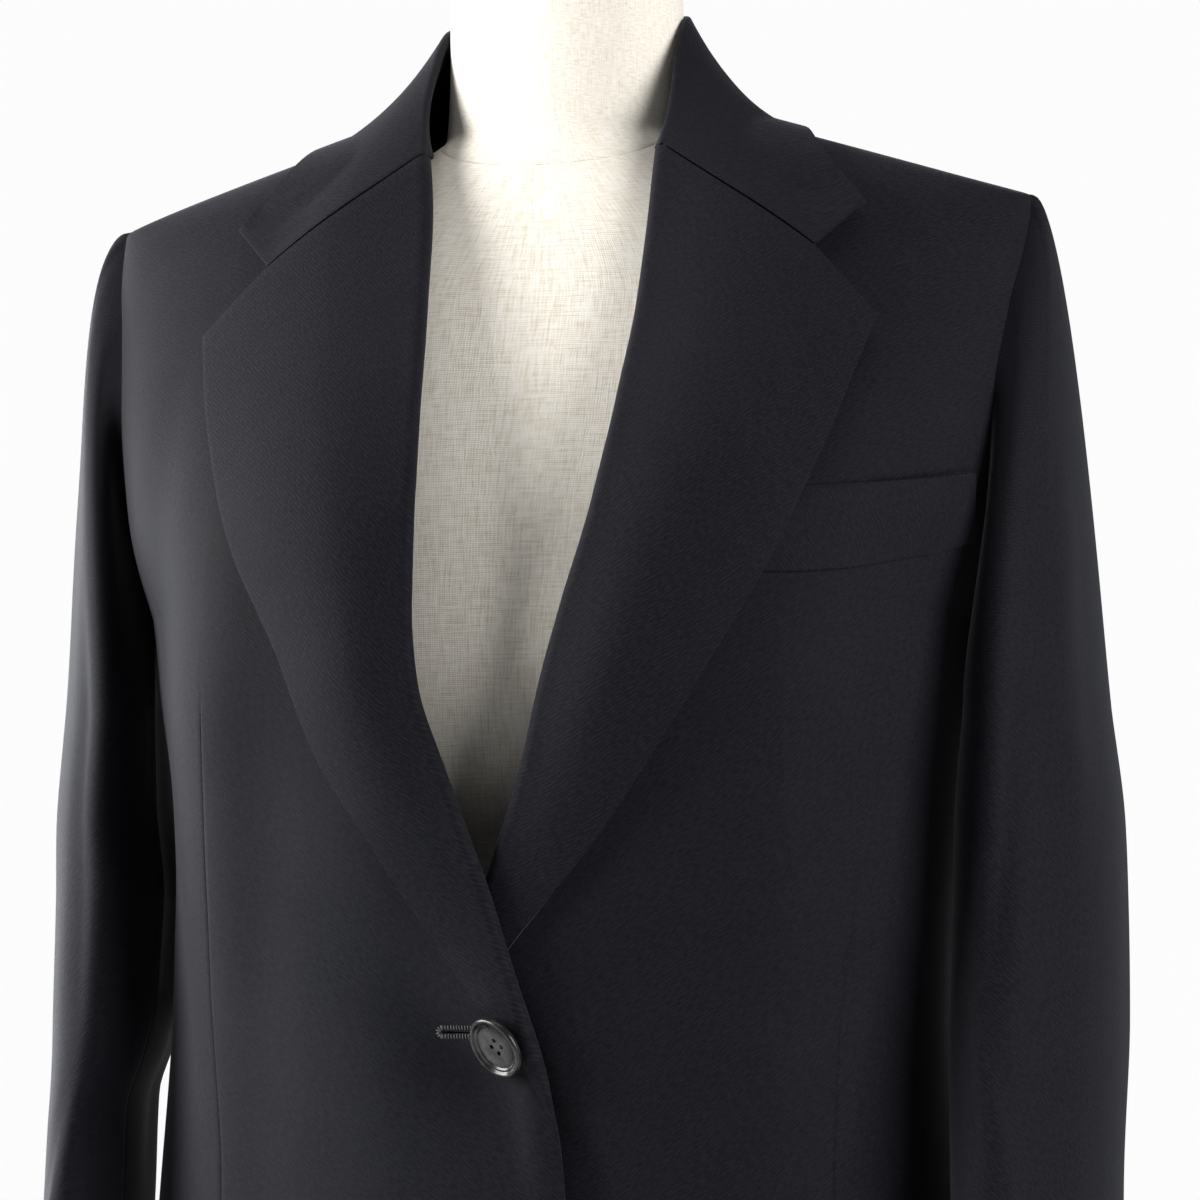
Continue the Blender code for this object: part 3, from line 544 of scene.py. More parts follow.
def body_point(turn, level, back=False):
    """A point of the coat's body. turn is 0 at the centre line and a quarter turn at the side, with
    that side's sign. level is 0 on the shoulder ridge, 1 at the armpit and 2 at the hem."""
    turn, level = np.broadcast_arrays(np.asarray(turn, float), np.asarray(level, float))
    height = level_height(level)
    power = ring_power(height)
    chest = np.clip(level, 0, 1)
    reach = table_value(CHEST_RINGS, BACK_REACH if back else FRONT_REACH, chest)
    depth = table_value(BODY_RINGS, BACK if back else FRONT, height) * reach
    x = ring_half(level, height) * np.sign(turn) * np.abs(np.sin(turn)) ** power
    y = depth * np.clip(np.cos(turn), 0, 1) ** power * (1 if back else -1)
    ridge = ridge_height(x)
    fallen = ridge + (ARMPIT_HEIGHT - ridge) * table_value(CHEST_RINGS, DROP, chest)
    return np.stack([x, y, np.where(level <= 1, fallen, height)], axis=-1)


def turn_at(x, level):
    """The turn at which a level's ring reaches x."""
    height = level_height(level)
    share = np.clip(np.abs(x) / ring_half(level, height), 0, 1)
    return np.sign(x) * np.arcsin(share ** (1 / ring_power(height)))


def normals_of(points):
    """Unit normals of a grid of points."""
    normal = np.cross(np.gradient(points, axis=0), np.gradient(points, axis=1))
    return normal / (np.linalg.norm(normal, axis=-1, keepdims=True) + 1e-12)


def moved_out(points, distance, axis=(0.0, 0.0)):
    """A grid of points moved along its own normals, away from an upright axis."""
    normal = normals_of(points)
    if np.sum(normal[..., :2] * (points[..., :2] - axis)) < 0:
        normal = -normal
    return points + normal * np.broadcast_to(distance, points.shape[:2])[..., None]


def creases(across, height, runs):
    """How far soft creases raise the cloth. Each runs from one place to another, with a half width."""
    rise = np.zeros(np.broadcast(across, height).shape)
    for from_across, from_height, to_across, to_height, half_width, lift in runs:
        run = np.array([to_across - from_across, to_height - from_height])
        length = np.hypot(*run)
        along = ((across - from_across) * run[0] + (height - from_height) * run[1]) / length**2
        aside = ((height - from_height) * run[0] - (across - from_across) * run[1]) / length
        rise += lift * np.exp(-((aside / half_width) ** 2) - ((along - 0.5) / 0.45) ** 4)
    return rise


def cut_shape(points):
    """Where each point lies on the flat piece, measured along the cloth from its middle column."""
    middle = points.shape[1] // 2
    down = np.linalg.norm(np.diff(points[:, middle], axis=0), axis=-1)
    over = np.linalg.norm(np.diff(points, axis=1), axis=-1)
    v = -np.concatenate([[0.0], np.cumsum(down)])
    u = np.concatenate([np.zeros((len(points), 1)), np.cumsum(over, axis=1)], axis=1)
    return np.stack([u - u[:, middle : middle + 1], np.broadcast_to(v[:, None], u.shape)], axis=-1)


def sewn_cloth(
    name, points, twill, axis=(0, 0), thickness=WOOL_THICK, thinned=None, slits=()
):
    """A piece of the wool on a grid of points, thickened away from an upright axis. twill is the
    direction of its lines, in degrees above level. thinned is each row's share of the thickness, and
    each slit is a row and the first and last column of the squares left out below it."""
    rows, columns = points.shape[:2]
    flat = cut_shape(points)
    lines = math.radians(twill)
    turned_flat = flat @ np.array([[math.cos(lines), -math.sin(lines)], [math.sin(lines), math.cos(lines)]])
    bm = bmesh.new()
    bmesh.ops.create_grid(bm, x_segments=columns - 1, y_segments=rows - 1, size=1)
    cut = bm.loops.layers.uv.new("cut")
    spots = {}
    for vert in bm.verts:
        row, column = round((vert.co.y + 1) / 2 * (rows - 1)), round((vert.co.x + 1) / 2 * (columns - 1))
        spots[vert] = (row, column)
        vert.co = points[row, column]
    for face in bm.faces:
        for loop in face.loops:
            loop[cut].uv = turned_flat[spots[loop.vert]]
    open_faces = [
        face
        for face in bm.faces
        for row, first, last in slits
        if all(row <= spots[v][0] <= row + 1 and first <= spots[v][1] <= last for v in face.verts)
    ]
    bmesh.ops.delete(bm, geom=open_faces, context="FACES")
    bm.verts.index_update()
    bm.normal_update()
    middle = Vector((*axis, 0.0))
    outward = sum(f.calc_area() * f.normal.xy.dot((f.calc_center_median() - middle).xy) for f in bm.faces)
    if outward < 0:
        bmesh.ops.reverse_faces(bm, faces=bm.faces)
    row_of = [spots[vert][0] for vert in bm.verts]
    made = add_piece(name, bm, wool)
    wall = made.modifiers.new("cloth", "SOLIDIFY")
    wall.thickness = thickness
    wall.offset = 1
    if thinned is not None:
        share = made.vertex_groups.new(name="thickness")
        for index, row in enumerate(row_of):
            share.add([index], float(thinned[row]), "REPLACE")
        wall.vertex_group = share.name
    rounded_rims(made, thickness * CLOTH_EDGE_SHARE, angle=55)
    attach(made, "root")
    return made


def armhole_turn(level, back=False):
    """The armhole's edge, as a turn from the centre line. It closes at the shoulder and armpit."""
    return math.pi / 2 - np.radians(table_value(ARMHOLE_SCOOP, 2 if back else 1, level))


def seamed(points, back):
    """Points kept half a seam's gap from the side and shoulder seams."""
    kept = points.copy()
    gap = SEAM_GAP / 2
    kept[..., 1] = np.maximum(points[..., 1], gap) if back else np.minimum(points[..., 1], -gap)
    return kept


def back_points(side):
    """Rows from the shoulder to the hem, columns from the centre to the side seam."""
    neck_rows, chest_rows = BACK_ROWS // 5, BACK_ROWS // 3
    neck_turn = np.linspace(0, math.pi / 2, neck_rows)
    levels = np.concatenate(
        [
            BACK_NECK_LEVEL * np.sin(neck_turn),
            np.linspace(BACK_NECK_LEVEL, 1, chest_rows)[1:],
            np.linspace(1, 2, BACK_ROWS - neck_rows - chest_rows + 1)[1:],
        ]
    )
    neck = np.zeros(len(levels))
    neck[:neck_rows] = NECK_HALF * np.cos(neck_turn)
    inner = turn_at(np.maximum(neck, SEAM_GAP / 2), levels)
    share = np.linspace(0, 1, BACK_COLUMNS)
    turns = inner[:, None] + (armhole_turn(levels, True) - inner)[:, None] * share
    points = seamed(body_point(turns, levels[:, None], True), True)
    near_edge = ease(share / BACK_CALM[0]) * ease((1 - share) / BACK_CALM[1])
    points = moved_out(points, creases(points[..., 0], points[..., 2], BACK_DRAPES[side]) * near_edge)
    return points * (side, 1, 1)


wool = wool_finish()
for hand, side in (("left", 1), ("right", -1)):
    back = sewn_cloth(f"{hand}_back", back_points(side), 45)
    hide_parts(f"back_{hand}")

# ---- coat fronts ---------------------------------------------------------------------------
# Each front is cut in one from the shoulder to the hem, shaped by a long dart from below the bust to
# past the waist, and faced, so that its edge is turned. The right front wraps over the left one.

# The inner edge of each front, down its neckline, roll line and front edge. Each is measured to its
# own side, so past the centre is below 0. The opening hangs a little to the wearer's left.
FRONT_EDGE = (  # height, left across, right across
    (1.4057, 0.0720, 0.0720),
    (1.3850, 0.0510, 0.0490),
    (1.3200, 0.0510, 0.0400),
    (1.2750, 0.0485, 0.0350),
    (1.2350, 0.0435, 0.0320),
    (1.1900, 0.0315, 0.0315),
    (1.1600, 0.0235, 0.0280),
    (1.1250, 0.0150, 0.0160),
    (1.0800, 0.0000, 0.0000),
    (1.0200, -0.0175, -0.0175),
    (0.9750, -0.0280, -0.0280),
    (0.9300, -0.0310, -0.0310),
    (0.4300, -0.0310, -0.0310),
)
WRAP_LIFT = 0.0064         # how far the right front stands off the body, over the left one
WRAP_FULL = (0.038, 1.085)  # across and height where the lift is whole
WRAP_NONE = (0.120, 1.200)  # and where it has gone
BUTTON_HEIGHTS = (1.0175, 0.9025, 0.7875)
BUTTON_ACROSS = 0.0056
# The lapel's roll lifts the cloth above the top button's outer side and sinks it on the other.
PULL = 0.0050
PULL_REACH = 0.018         # from the button to the highest lift
PULL_SPREAD = 0.030
PULL_TURN = math.radians(44)
ROLL_TOP = 1.385           # where the roll line passes from the lapel to the collar
LAPEL_END = 0.986          # where the lapel has narrowed to nothing
ROLL_INSET = 0.0030        # from the roll line to the cut edge of the front inside it
FRONT_ROWS_ABOVE, FRONT_ROWS_BELOW, FRONT_COLUMNS = 60, 130, 74
FRONT_CALM = 0.08          # share of the width by the side seam where drapes fade in
FURTHEST_ACROSS = -0.6     # a turn past the centre line that no front reaches
TURN_STEPS = 900
HOLE_CLEAR = 0.003         # levels kept free of other rows at a buttonhole's cut
HOLE_HEIGHTS = (1.0219, 0.9025, 0.7875)
HOLE_STARTS = (-0.0202, -0.0185, -0.0185)  # across, the outer end of each buttonhole
HOLE_LENGTH = 0.0290
HOLE_GAP = 0.0007          # half the open cut
POCKET_MOUTH = (           # across, height: where the breast pocket opens in the left front
    (0.0940, 1.2315),
    (0.1181, 1.2334),
    (0.1342, 1.2351),
    (0.1501, 1.2374),
    (0.1595, 1.2389),
    (0.1687, 1.2408),
    (0.1751, 1.2427),
    (0.1802, 1.2447),
)
MOUTH_DEPTH, MOUTH_HALF = 0.0023, 0.0011  # of the groove at the mouth
MOUTH_ABOVE = 0.0012       # from the welt's upper edge up to the groove's middle
MOUTH_END = 0.004          # length over which it begins and ends
MOUTH_LEVELS = (0.765, 0.875, 0.0028)  # from, to, and how close the rows lie together there
DARTS = {  # height, across, half width, depth
    1: (
        (1.125, 0.1430, 0.0004, 0.0000),
        (1.110, 0.1414, 0.0005, 0.0003),
        (1.060, 0.1350, 0.0006, 0.0006),
        (1.020, 0.1300, 0.0006, 0.0007),
        (0.955, 0.1278, 0.0006, 0.0006),
        (0.880, 0.1290, 0.0005, 0.0004),
        (0.850, 0.1300, 0.0004, 0.0000),
    ),
    -1: (
        (1.160, 0.1190, 0.0004, 0.0000),
        (1.140, 0.1190, 0.0005, 0.0003),
        (1.080, 0.1192, 0.0006, 0.0006),
        (1.044, 0.1192, 0.0006, 0.0007),
        (0.960, 0.1142, 0.0006, 0.0006),
        (0.880, 0.1150, 0.0005, 0.0004),
        (0.850, 0.1160, 0.0004, 0.0000),
    ),
}
DART_COLUMNS = (-0.0022, -0.0013, -0.0008, -0.0004, 0.0, 0.0004, 0.0008, 0.0013, 0.0022)
DART_SPREAD = 1.3
FRONT_DRAPES = {  # across, height, to across, to height, half width, rise
    1: (
        (0.150, 1.260, 0.146, 1.080, 0.012, -0.0018),
        (0.118, 1.170, 0.104, 0.960, 0.016, 0.0014),
        (0.070, 1.110, 0.076, 0.900, 0.014, -0.0010),
        (0.156, 1.120, 0.152, 0.920, 0.010, 0.0018),
        (0.096, 0.930, 0.110, 0.620, 0.022, 0.0024),
        (0.150, 0.860, 0.164, 0.520, 0.020, -0.0026),
        (0.040, 0.800, 0.046, 0.500, 0.022, 0.0016),
    ),
    -1: (
        (0.152, 1.300, 0.150, 1.120, 0.012, -0.0016),
        (0.119, 1.235, 0.119, 0.850, 0.021, 0.0068),
        (0.166, 1.215, 0.162, 1.060, 0.016, -0.0046),
        (0.156, 1.055, 0.160, 0.800, 0.012, 0.0046),
        (-0.0135, 1.006, -0.0225, 0.955, 0.0055, 0.0018),
        (0.080, 1.080, 0.086, 0.900, 0.018, 0.0012),
        (0.102, 0.930, 0.116, 0.640, 0.020, 0.0022),
        (0.152, 0.840, 0.162, 0.500, 0.018, -0.0024),
        (0.036, 0.780, 0.044, 0.480, 0.024, 0.0014),
    ),
}


def button_pull(x, z):
    """How far the top button's pull moves the cloth forward."""
    dx, dz = x - BUTTON_ACROSS, z - BUTTON_HEIGHTS[0]
    up = (dx * math.cos(PULL_TURN) + dz * math.sin(PULL_TURN)) / PULL_REACH
    aside = (dz * math.cos(PULL_TURN) - dx * math.sin(PULL_TURN)) / PULL_SPREAD
    return PULL * up * np.exp(0.5 - (up**2 + aside**2) / 2)


def pulled(points):
    moved = points.copy()
    moved[..., 1] -= button_pull(points[..., 0], points[..., 2])
    return moved


def wrap_lift(across, height):
    """How far the right front stands off the body. across is towards its own side."""
    near, below = (
        ease((none - at) / (none - full)) for none, full, at in zip(WRAP_NONE, WRAP_FULL, (across, height))
    )
    return WRAP_LIFT * near * below


def roll_inset(height):
    """How far the front's cut edge lies inside its outline, where the lapel rolls over it."""
    return ROLL_INSET * ease((height - LAPEL_END) / 0.02) * ease((FRONT_EDGE[0][0] - height) / 0.015)


def turn_of_across(across, level):
    """The turn at which this level's ring comes to this far across, with either sign."""
    turns = np.linspace(FURTHEST_ACROSS, math.pi / 2, TURN_STEPS)
    ring = body_point(turns, level)
    wanted = across(ring[:, 2])
    return float(np.interp(0.0, ring[:, 0] - wanted, turns))


def front_levels(side):
    """The levels of a front's rows: closer at the left one's pocket, and two at each buttonhole's cut."""
    upper = (1 - np.cos(np.linspace(0.0, math.pi, FRONT_ROWS_ABOVE))) / 2
    levels = np.concatenate([upper, np.linspace(1, 2, FRONT_ROWS_BELOW + 1)[1:]])
    if side > 0:
        first, last, apart = MOUTH_LEVELS
        outside = (levels < first - apart / 2) | (levels > last + apart / 2)
        return np.sort(np.concatenate([levels[outside], np.arange(first, last, apart)]))
    lips = np.add.outer(HOLE_HEIGHTS, (HOLE_GAP, -HOLE_GAP)).ravel()
    lips = 1 + (ARMPIT_HEIGHT - lips) / (ARMPIT_HEIGHT - HEM_HEIGHT)
    clear = np.abs(levels[:, None] - lips).min(axis=1) > HOLE_CLEAR
    return np.sort(np.concatenate([levels[clear], lips]))


def cut_buttonholes(points, levels):
    """The squares left out for the buttonholes, with the points at their ends moved onto the ends."""
    slits = []
    for height, start in zip(HOLE_HEIGHTS, HOLE_STARTS):
        lip = 1 + (ARMPIT_HEIGHT - height - HOLE_GAP) / (ARMPIT_HEIGHT - HEM_HEIGHT)
        row = int(np.argmin(np.abs(levels - lip)))
        ends = []
        for x in (start + HOLE_LENGTH, start):
            column = int(np.argmin(np.abs(points[row, :, 0] - x)))
            for at in (row, row + 1):
                line = points[at, ::-1].copy()
                points[at, column] = [np.interp(x, line[:, 0], line[:, axis]) for axis in range(3)]
            ends.append(column)
        slits.append((row, *ends))
    return slits


def pocket_mouth(across, height):
    """How far the left front sinks where the pocket opens, just above the welt's upper edge."""
    line = table_value(POCKET_MOUTH, 1, across) + MOUTH_ABOVE
    begun = ease((across - POCKET_MOUTH[0][0]) / MOUTH_END)
    left = ease((POCKET_MOUTH[-1][0] - across) / MOUTH_END)
    return MOUTH_DEPTH * (begun * left) * np.exp(-(((height - line) / MOUTH_HALF) ** 2))


def front_points(side):
    """Rows from the shoulder to the hem, columns from the inner edge to the side seam."""
    levels = front_levels(side)
    dart = DARTS[side]
    inner = np.array(
        [
            turn_of_across(lambda z: table_value(FRONT_EDGE, own(side), z) + roll_inset(z), level)
            for level in levels
        ]
    )
    at_dart = np.array([turn_of_across(lambda z: table_value(dart, 1, z), level) for level in levels])
    outer = armhole_turn(levels)
    per_metre = 1 / table_value(BODY_RINGS, HALF_WIDTH, level_height(levels))
    offsets = np.array(DART_COLUMNS)[None, :] * per_metre[:, None] * DART_SPREAD
    before = (FRONT_COLUMNS * 2) // 3
    inside = np.linspace(0, 1, before)[None, :-1]
    outside = np.linspace(0, 1, FRONT_COLUMNS - before)[None, 1:]
    first, last = (at_dart + offsets[:, 0])[:, None], (at_dart + offsets[:, -1])[:, None]
    turns = np.concatenate(
        [
            inner[:, None] + (first - inner[:, None]) * inside,
            at_dart[:, None] + offsets,
            last + (outer[:, None] - last) * outside,
        ],
        axis=1,
    )
    points = seamed(body_point(turns, levels[:, None]), False)
    x, z = points[..., 0], points[..., 2]
    groove = np.exp(-(((x - table_value(dart, 1, z)) / table_value(dart, 2, z)) ** 2))
    share = np.linspace(0, 1, points.shape[1])
    near_edge = ease((1 - share) / FRONT_CALM)
    shaped = creases(x, z, FRONT_DRAPES[side]) * near_edge - groove * table_value(dart, 3, z)
    shaped = shaped + (wrap_lift(x, z) if side < 0 else -pocket_mouth(x, z))
    return pulled(moved_out(points, shaped) * (side, 1, 1))


for hand, side in (("left", 1), ("right", -1)):
    points = front_points(side)
    slits = cut_buttonholes(points, front_levels(side)) if side < 0 else ()
    front = sewn_cloth(f"{hand}_front", points, 38, slits=slits)
    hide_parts(f"front_{hand}")

# ---- breast welt ---------------------------------------------------------------------------
# The breast pocket's mouth is a welt: a doubled strip of the wool, sewn on along its lower edge and
# stitched down at both ends, so that only its upper edge is free.

WELT_LOW = (  # across, height: its lower edge
    (0.0880, 1.2012),
    (0.1190, 1.2016),
    (0.1332, 1.2029),
    (0.1464, 1.2053),
    (0.1579, 1.2085),
    (0.1664, 1.2112),
    (0.1740, 1.2150),
    (0.1785, 1.2185),
)
WELT_THICK = 0.0012
WELT_REST = 0.0006         # from the front to the sewn edges of the welt
WELT_OPEN = 0.0032         # and to its free edge
WELT_ROWS, WELT_COLUMNS = 22, 60


def front_surface(x, z):
    """The point of the body's front at this x and z."""
    x, z = np.broadcast_arrays(np.asarray(x, float), np.asarray(z, float))
    ridge = ridge_height(x)
    drop = np.clip((ridge - z) / (ridge - ARMPIT_HEIGHT), 0, 1)
    steps = np.linspace(0, 1, 400)
    chest = np.interp(drop, table_value(CHEST_RINGS, DROP, steps), steps)
    below = (ARMPIT_HEIGHT - z) / (ARMPIT_HEIGHT - HEM_HEIGHT)
    level = np.where(z > ARMPIT_HEIGHT, chest, 1 + below)
    return body_point(turn_at(x, level), level)


along = np.linspace(0, 1, WELT_COLUMNS)
up = np.linspace(0, 1, WELT_ROWS)[:, None]
edges = []
for rows in (WELT_LOW, POCKET_MOUTH):
    across = rows[0][0] + (rows[-1][0] - rows[0][0]) * along
    edges.append(np.stack([across, table_value(rows, 1, across)], axis=-1))
plan = edges[0] + (edges[1] - edges[0]) * up[..., None]
loose = ease(up) * ease(along * 6) * ease((1 - along) * 6)
drape = creases(plan[..., 0], plan[..., 1], FRONT_DRAPES[1])
stand_off = WOOL_THICK + WELT_REST + (WELT_OPEN - WELT_REST) * loose + drape
welt = sewn_cloth(
    "breast_welt_cloth",
    moved_out(front_surface(plan[..., 0], plan[..., 1]), stand_off),
    52,
    thickness=WELT_THICK,
)
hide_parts("breast_welt")

# ---- lapels --------------------------------------------------------------------------------
# A lapel is the front's facing, turned outwards along the roll line. It is pressed, and padded so that
# it springs a little off the front, and it narrows to nothing below the top button.

NOTCH = {1: (0.1165, 1.334), -1: (0.1100, 1.333)}  # across, height
LAPEL_EDGE = (  # height, left across, right across: from the peak down
    (1.3050, 0.1432, 0.1372),
    (1.2800, 0.1360, 0.1303),
    (1.2500, 0.1270, 0.1198),
    (1.2100, 0.1105, 0.1040),
    (1.1700, 0.0890, 0.0830),
    (1.1300, 0.0645, 0.0650),
    (1.1000, 0.0450, 0.0455),
    (1.0750, 0.0245, 0.0300),
    (1.0520, 0.0065, 0.0145),
    (1.0370, -0.0020, 0.0040),
    (1.0200, -0.0100, -0.0095),
    (0.9900, -0.0210, -0.0225),
    (0.9800, -0.0245, -0.0250),
)
LAPEL_THICK = 0.0027       # the facing, the front and the canvas between them
LAPEL_GAP = 0.0010         # between the front and the lapel lying on it
LAPEL_THINS = 0.032        # height over which it thins out into the front edge
LAPEL_THINNEST = 0.06      # the share of its thickness left there
LAPEL_CROWN = 0.0035       # how far the middle of a lapel stands off the front
LAPEL_SPRING = 0.0024      # and its outer edge
LAPEL_FLAT, LAPEL_FULL = 1.07, 1.20  # heights between which it comes to stand off
BEND_SHARE = 0.25          # of the rows, below the gorge, that bend at the notch
LAPEL_CROWDING = 1.5       # above 1, rows are closer near the break
LAPEL_ROWS, GORGE_COLUMNS, STEP_COLUMNS = 110, 36, 16
ROLL_COLUMNS = 8           # round the roll
FACING_TURN_IN = 0.008     # how far the facing is followed behind the front's edge


def lapel_shares(side):
    """Columns of the lapel, with one on the notch."""
    roll_across = table_value(FRONT_EDGE, own(side), ROLL_TOP)
    notch_share = (NOTCH[side][0] - roll_across) / (LAPEL_EDGE[0][own(side)] - roll_across)
    gorge = np.linspace(0, notch_share, GORGE_COLUMNS)
    return np.concatenate([gorge, np.linspace(notch_share, 1, STEP_COLUMNS + 1)[1:]])


def roll_heights():
    """Each row's height on the roll line."""
    return ROLL_TOP + (LAPEL_END - ROLL_TOP) * (1 - np.linspace(1, 0, LAPEL_ROWS) ** LAPEL_CROWDING)


def lapel_thinned(roll_height):
    """The share of its thickness that the lapel keeps, as it narrows to nothing."""
    return LAPEL_THINNEST + (1 - LAPEL_THINNEST) * ease((roll_height - LAPEL_END) / LAPEL_THINS)


def lapel_face(side):
    """The lapel without its roll, and how far each row's first point stands off the front."""
    peak_height = LAPEL_EDGE[0][0]
    down = 1 - np.linspace(1, 0, LAPEL_ROWS) ** LAPEL_CROWDING
    roll_height = roll_heights()
    edge_height = peak_height + (LAPEL_END - peak_height) * down
    roll_across = table_value(FRONT_EDGE, own(side), roll_height)
    edge_across = table_value(LAPEL_EDGE, own(side), edge_height)
    q = lapel_shares(side)
    notch_share = q[GORGE_COLUMNS - 1]
    width = np.hypot(edge_across - roll_across, edge_height - roll_height)
    set_back = np.minimum(ROLL_INSET / width, 0.45)[:, None]
    across_share = set_back + (1 - set_back) * q
    across = roll_across[:, None] + (edge_across - roll_across)[:, None] * across_share
    height = roll_height[:, None] + (edge_height - roll_height)[:, None] * across_share
    # The gorge bends at the notch, and the rows below it share less and less of the bend.
    straight = roll_height[0] + (edge_height[0] - roll_height[0]) * notch_share
    bend = (NOTCH[side][1] - straight) * np.interp(q, [0, notch_share, 1], [0, 1, 0])
    height = height + bend * (1 - ease(down / BEND_SHARE))[:, None]
    rising = ease((roll_height - LAPEL_FLAT) / (LAPEL_FULL - LAPEL_FLAT))[:, None]
    resting = WOOL_THICK + LAPEL_GAP * lapel_thinned(roll_height)
    stand = resting[:, None] + rising * (LAPEL_CROWN * np.sin(math.pi * q) + LAPEL_SPRING * ease(q * 2))
    under = front_surface(across, height)
    lifted = stand + (wrap_lift(across, height) if side < 0 else 0.0)
    face = pulled(moved_out(under, lifted) * (side, 1, 1))
    return face, resting[:, None]


def unit(vectors):
    return vectors / (np.linalg.norm(vectors, axis=-1, keepdims=True) + 1e-12)


def lapel_points(side):
    """Rows from the gorge to the break, columns from inside the front, round the roll, to the edge."""
    face, stand = lapel_face(side)
    along_roll = unit(np.gradient(face[:, 0], axis=0))
    inward = face[:, 0] - face[:, 1]
    inward = unit(inward - np.sum(inward * along_roll, axis=-1, keepdims=True) * along_roll)
    outward = np.cross(along_roll, inward)
    outward *= np.sign(-outward[:, 1:2])
    middle = face[:, 0] - outward * stand / 2
    around = np.linspace(math.pi, 0, ROLL_COLUMNS + 1)[:-1]
    roll = [middle + (outward * math.cos(a) + inward * math.sin(a)) * stand / 2 for a in around]
    turned_in = [
        face[:, 0] - outward * stand - inward * FACING_TURN_IN * share for share in (1.0, 0.66, 0.33)
    ]
    return np.concatenate([np.stack(turned_in + roll, axis=1), face], axis=1)


for hand, side, twill in (("left", 1, 58), ("right", -1, 62)):
    lapel = sewn_cloth(
        f"{hand}_lapel",
        lapel_points(side),
        twill,
        thickness=LAPEL_THICK,
        thinned=lapel_thinned(roll_heights()),
    )
    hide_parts(f"lapel_{hand}")

# ---- collar --------------------------------------------------------------------------------
# The top collar is one piece: it stands up from the neckline, folds over at the crease and falls to
# its outer edge. At the gorge it is sewn to the lapels, as far as the notch.

# From the centre back (share 0) over the shoulder (0.6) to the gorge (1).
CREASE = (  # share, across, back of the ridge, height
    (0.00, 0.0000, 0.0530, 1.4520),
    (0.20, 0.0265, 0.0465, 1.4545),
    (0.40, 0.0458, 0.0280, 1.4550),
    (0.60, 0.0532, 0.0000, 1.4490),
    (0.80, 0.0542, -0.0310, 1.4195),
    (1.00, 0.0508, -0.0560, 1.3860),
)
COLLAR_EDGE = (  # share, left across, right across, level: below 0 on the back
    (0.00, 0.0000, 0.0000, -0.330),
    (0.20, 0.0385, 0.0385, -0.300),
    (0.40, 0.0730, 0.0715, -0.195),
    (0.60, 0.0985, 0.0955, -0.010),
    (0.70, 0.1085, 0.1055, 0.095),
    (0.80, 0.1170, 0.1150, 0.185),
    (0.90, 0.1260, 0.1255, 0.262),
    (1.00, 0.1350, 0.1340, 0.330),
)
COLLAR_THICK = 0.0015
GORGE_GAP = 0.0005         # at the seam between the collar and a lapel
SMOOTHINGS = 60            # times that the fall's inner points are evened out
SHOULDER_SHARE = 0.6
GORGE_FROM = 0.72          # where the fall begins to turn towards the gorge
TIP_FACING = (0.0, -0.6, 0.8)  # outwards from the shoulder, under the collar's tips
COLLAR_BULGE = 0.13        # how hollow the fall is between its crease and its edge
COLLAR_TIP = {1: (0.1378, 1.3535), -1: (0.1318, 1.3515)}
STAND_INSET = 0.0014       # from the crease and the neckline to the stand
CREASE_RADIUS = (0.0005, 0.0006)  # at the back and at the gorge
COLLAR_COLUMNS, CREASE_ROWS, STAND_ROWS = 76, 7, 14
COLLAR_GAP = 0.0019        # between the fall and the shoulder
CREASE_TURNS = 0.8         # share from which the crease turns from the neck to face the other side
SHOULDER_LEVELS = np.linspace(-0.9, 0.9, 361)  # of a section from the back over to the front


def crease_points(share):
    return np.stack([table_value(CREASE, column, share) for column in (1, 2, 3)], axis=-1)


def shoulder_surface(x, level):
    """A point of the shoulder at this x. level is above 0 on the front and below 0 on the back."""
    turn = turn_at(x, np.abs(level))
    behind = (np.asarray(level) < 0)[..., None]
    return np.where(behind, body_point(turn, np.abs(level), True), body_point(turn, np.abs(level)))


def clear_of_shoulder(points, distance):
    """Points pushed off the shoulder, in their own upright sections, until they clear it."""
    cleared = points.copy()
    for index in np.ndindex(points.shape[:-1]):
        x, y, z = points[index]
        section = shoulder_surface(np.full(SHOULDER_LEVELS.shape, x), SHOULDER_LEVELS)[:, 1:]
        tangent = np.gradient(section, axis=0)
        normal = np.stack([tangent[:, 1], -tangent[:, 0]], axis=-1)
        normal /= np.linalg.norm(normal, axis=-1, keepdims=True)
        normal *= np.sign(normal[:, 1:] + 1e-9)
        away = np.array([y, z]) - section
        near = np.argmin(np.sum(away**2, axis=-1))
        short = distance - away[near] @ normal[near]
        if short > 0:
            cleared[index][1:] += normal[near] * short
    return cleared


def neck_seam_points(share, side):
    """The neckline, from the centre back over the shoulder to the roll line."""
    a = np.clip(share / SHOULDER_SHARE, 0, 1) * math.pi / 2
    behind = shoulder_surface(NECK_HALF * np.sin(a), -BACK_NECK_LEVEL * np.cos(a))
    on = np.clip((share - SHOULDER_SHARE) / (1 - SHOULDER_SHARE), 0, 1)
    height = FRONT_EDGE[0][0] + (FRONT_EDGE[1][0] - FRONT_EDGE[0][0]) * on
    before = front_surface(table_value(FRONT_EDGE, own(side), height), height)
    return np.where((share <= SHOULDER_SHARE)[..., None], behind, before)


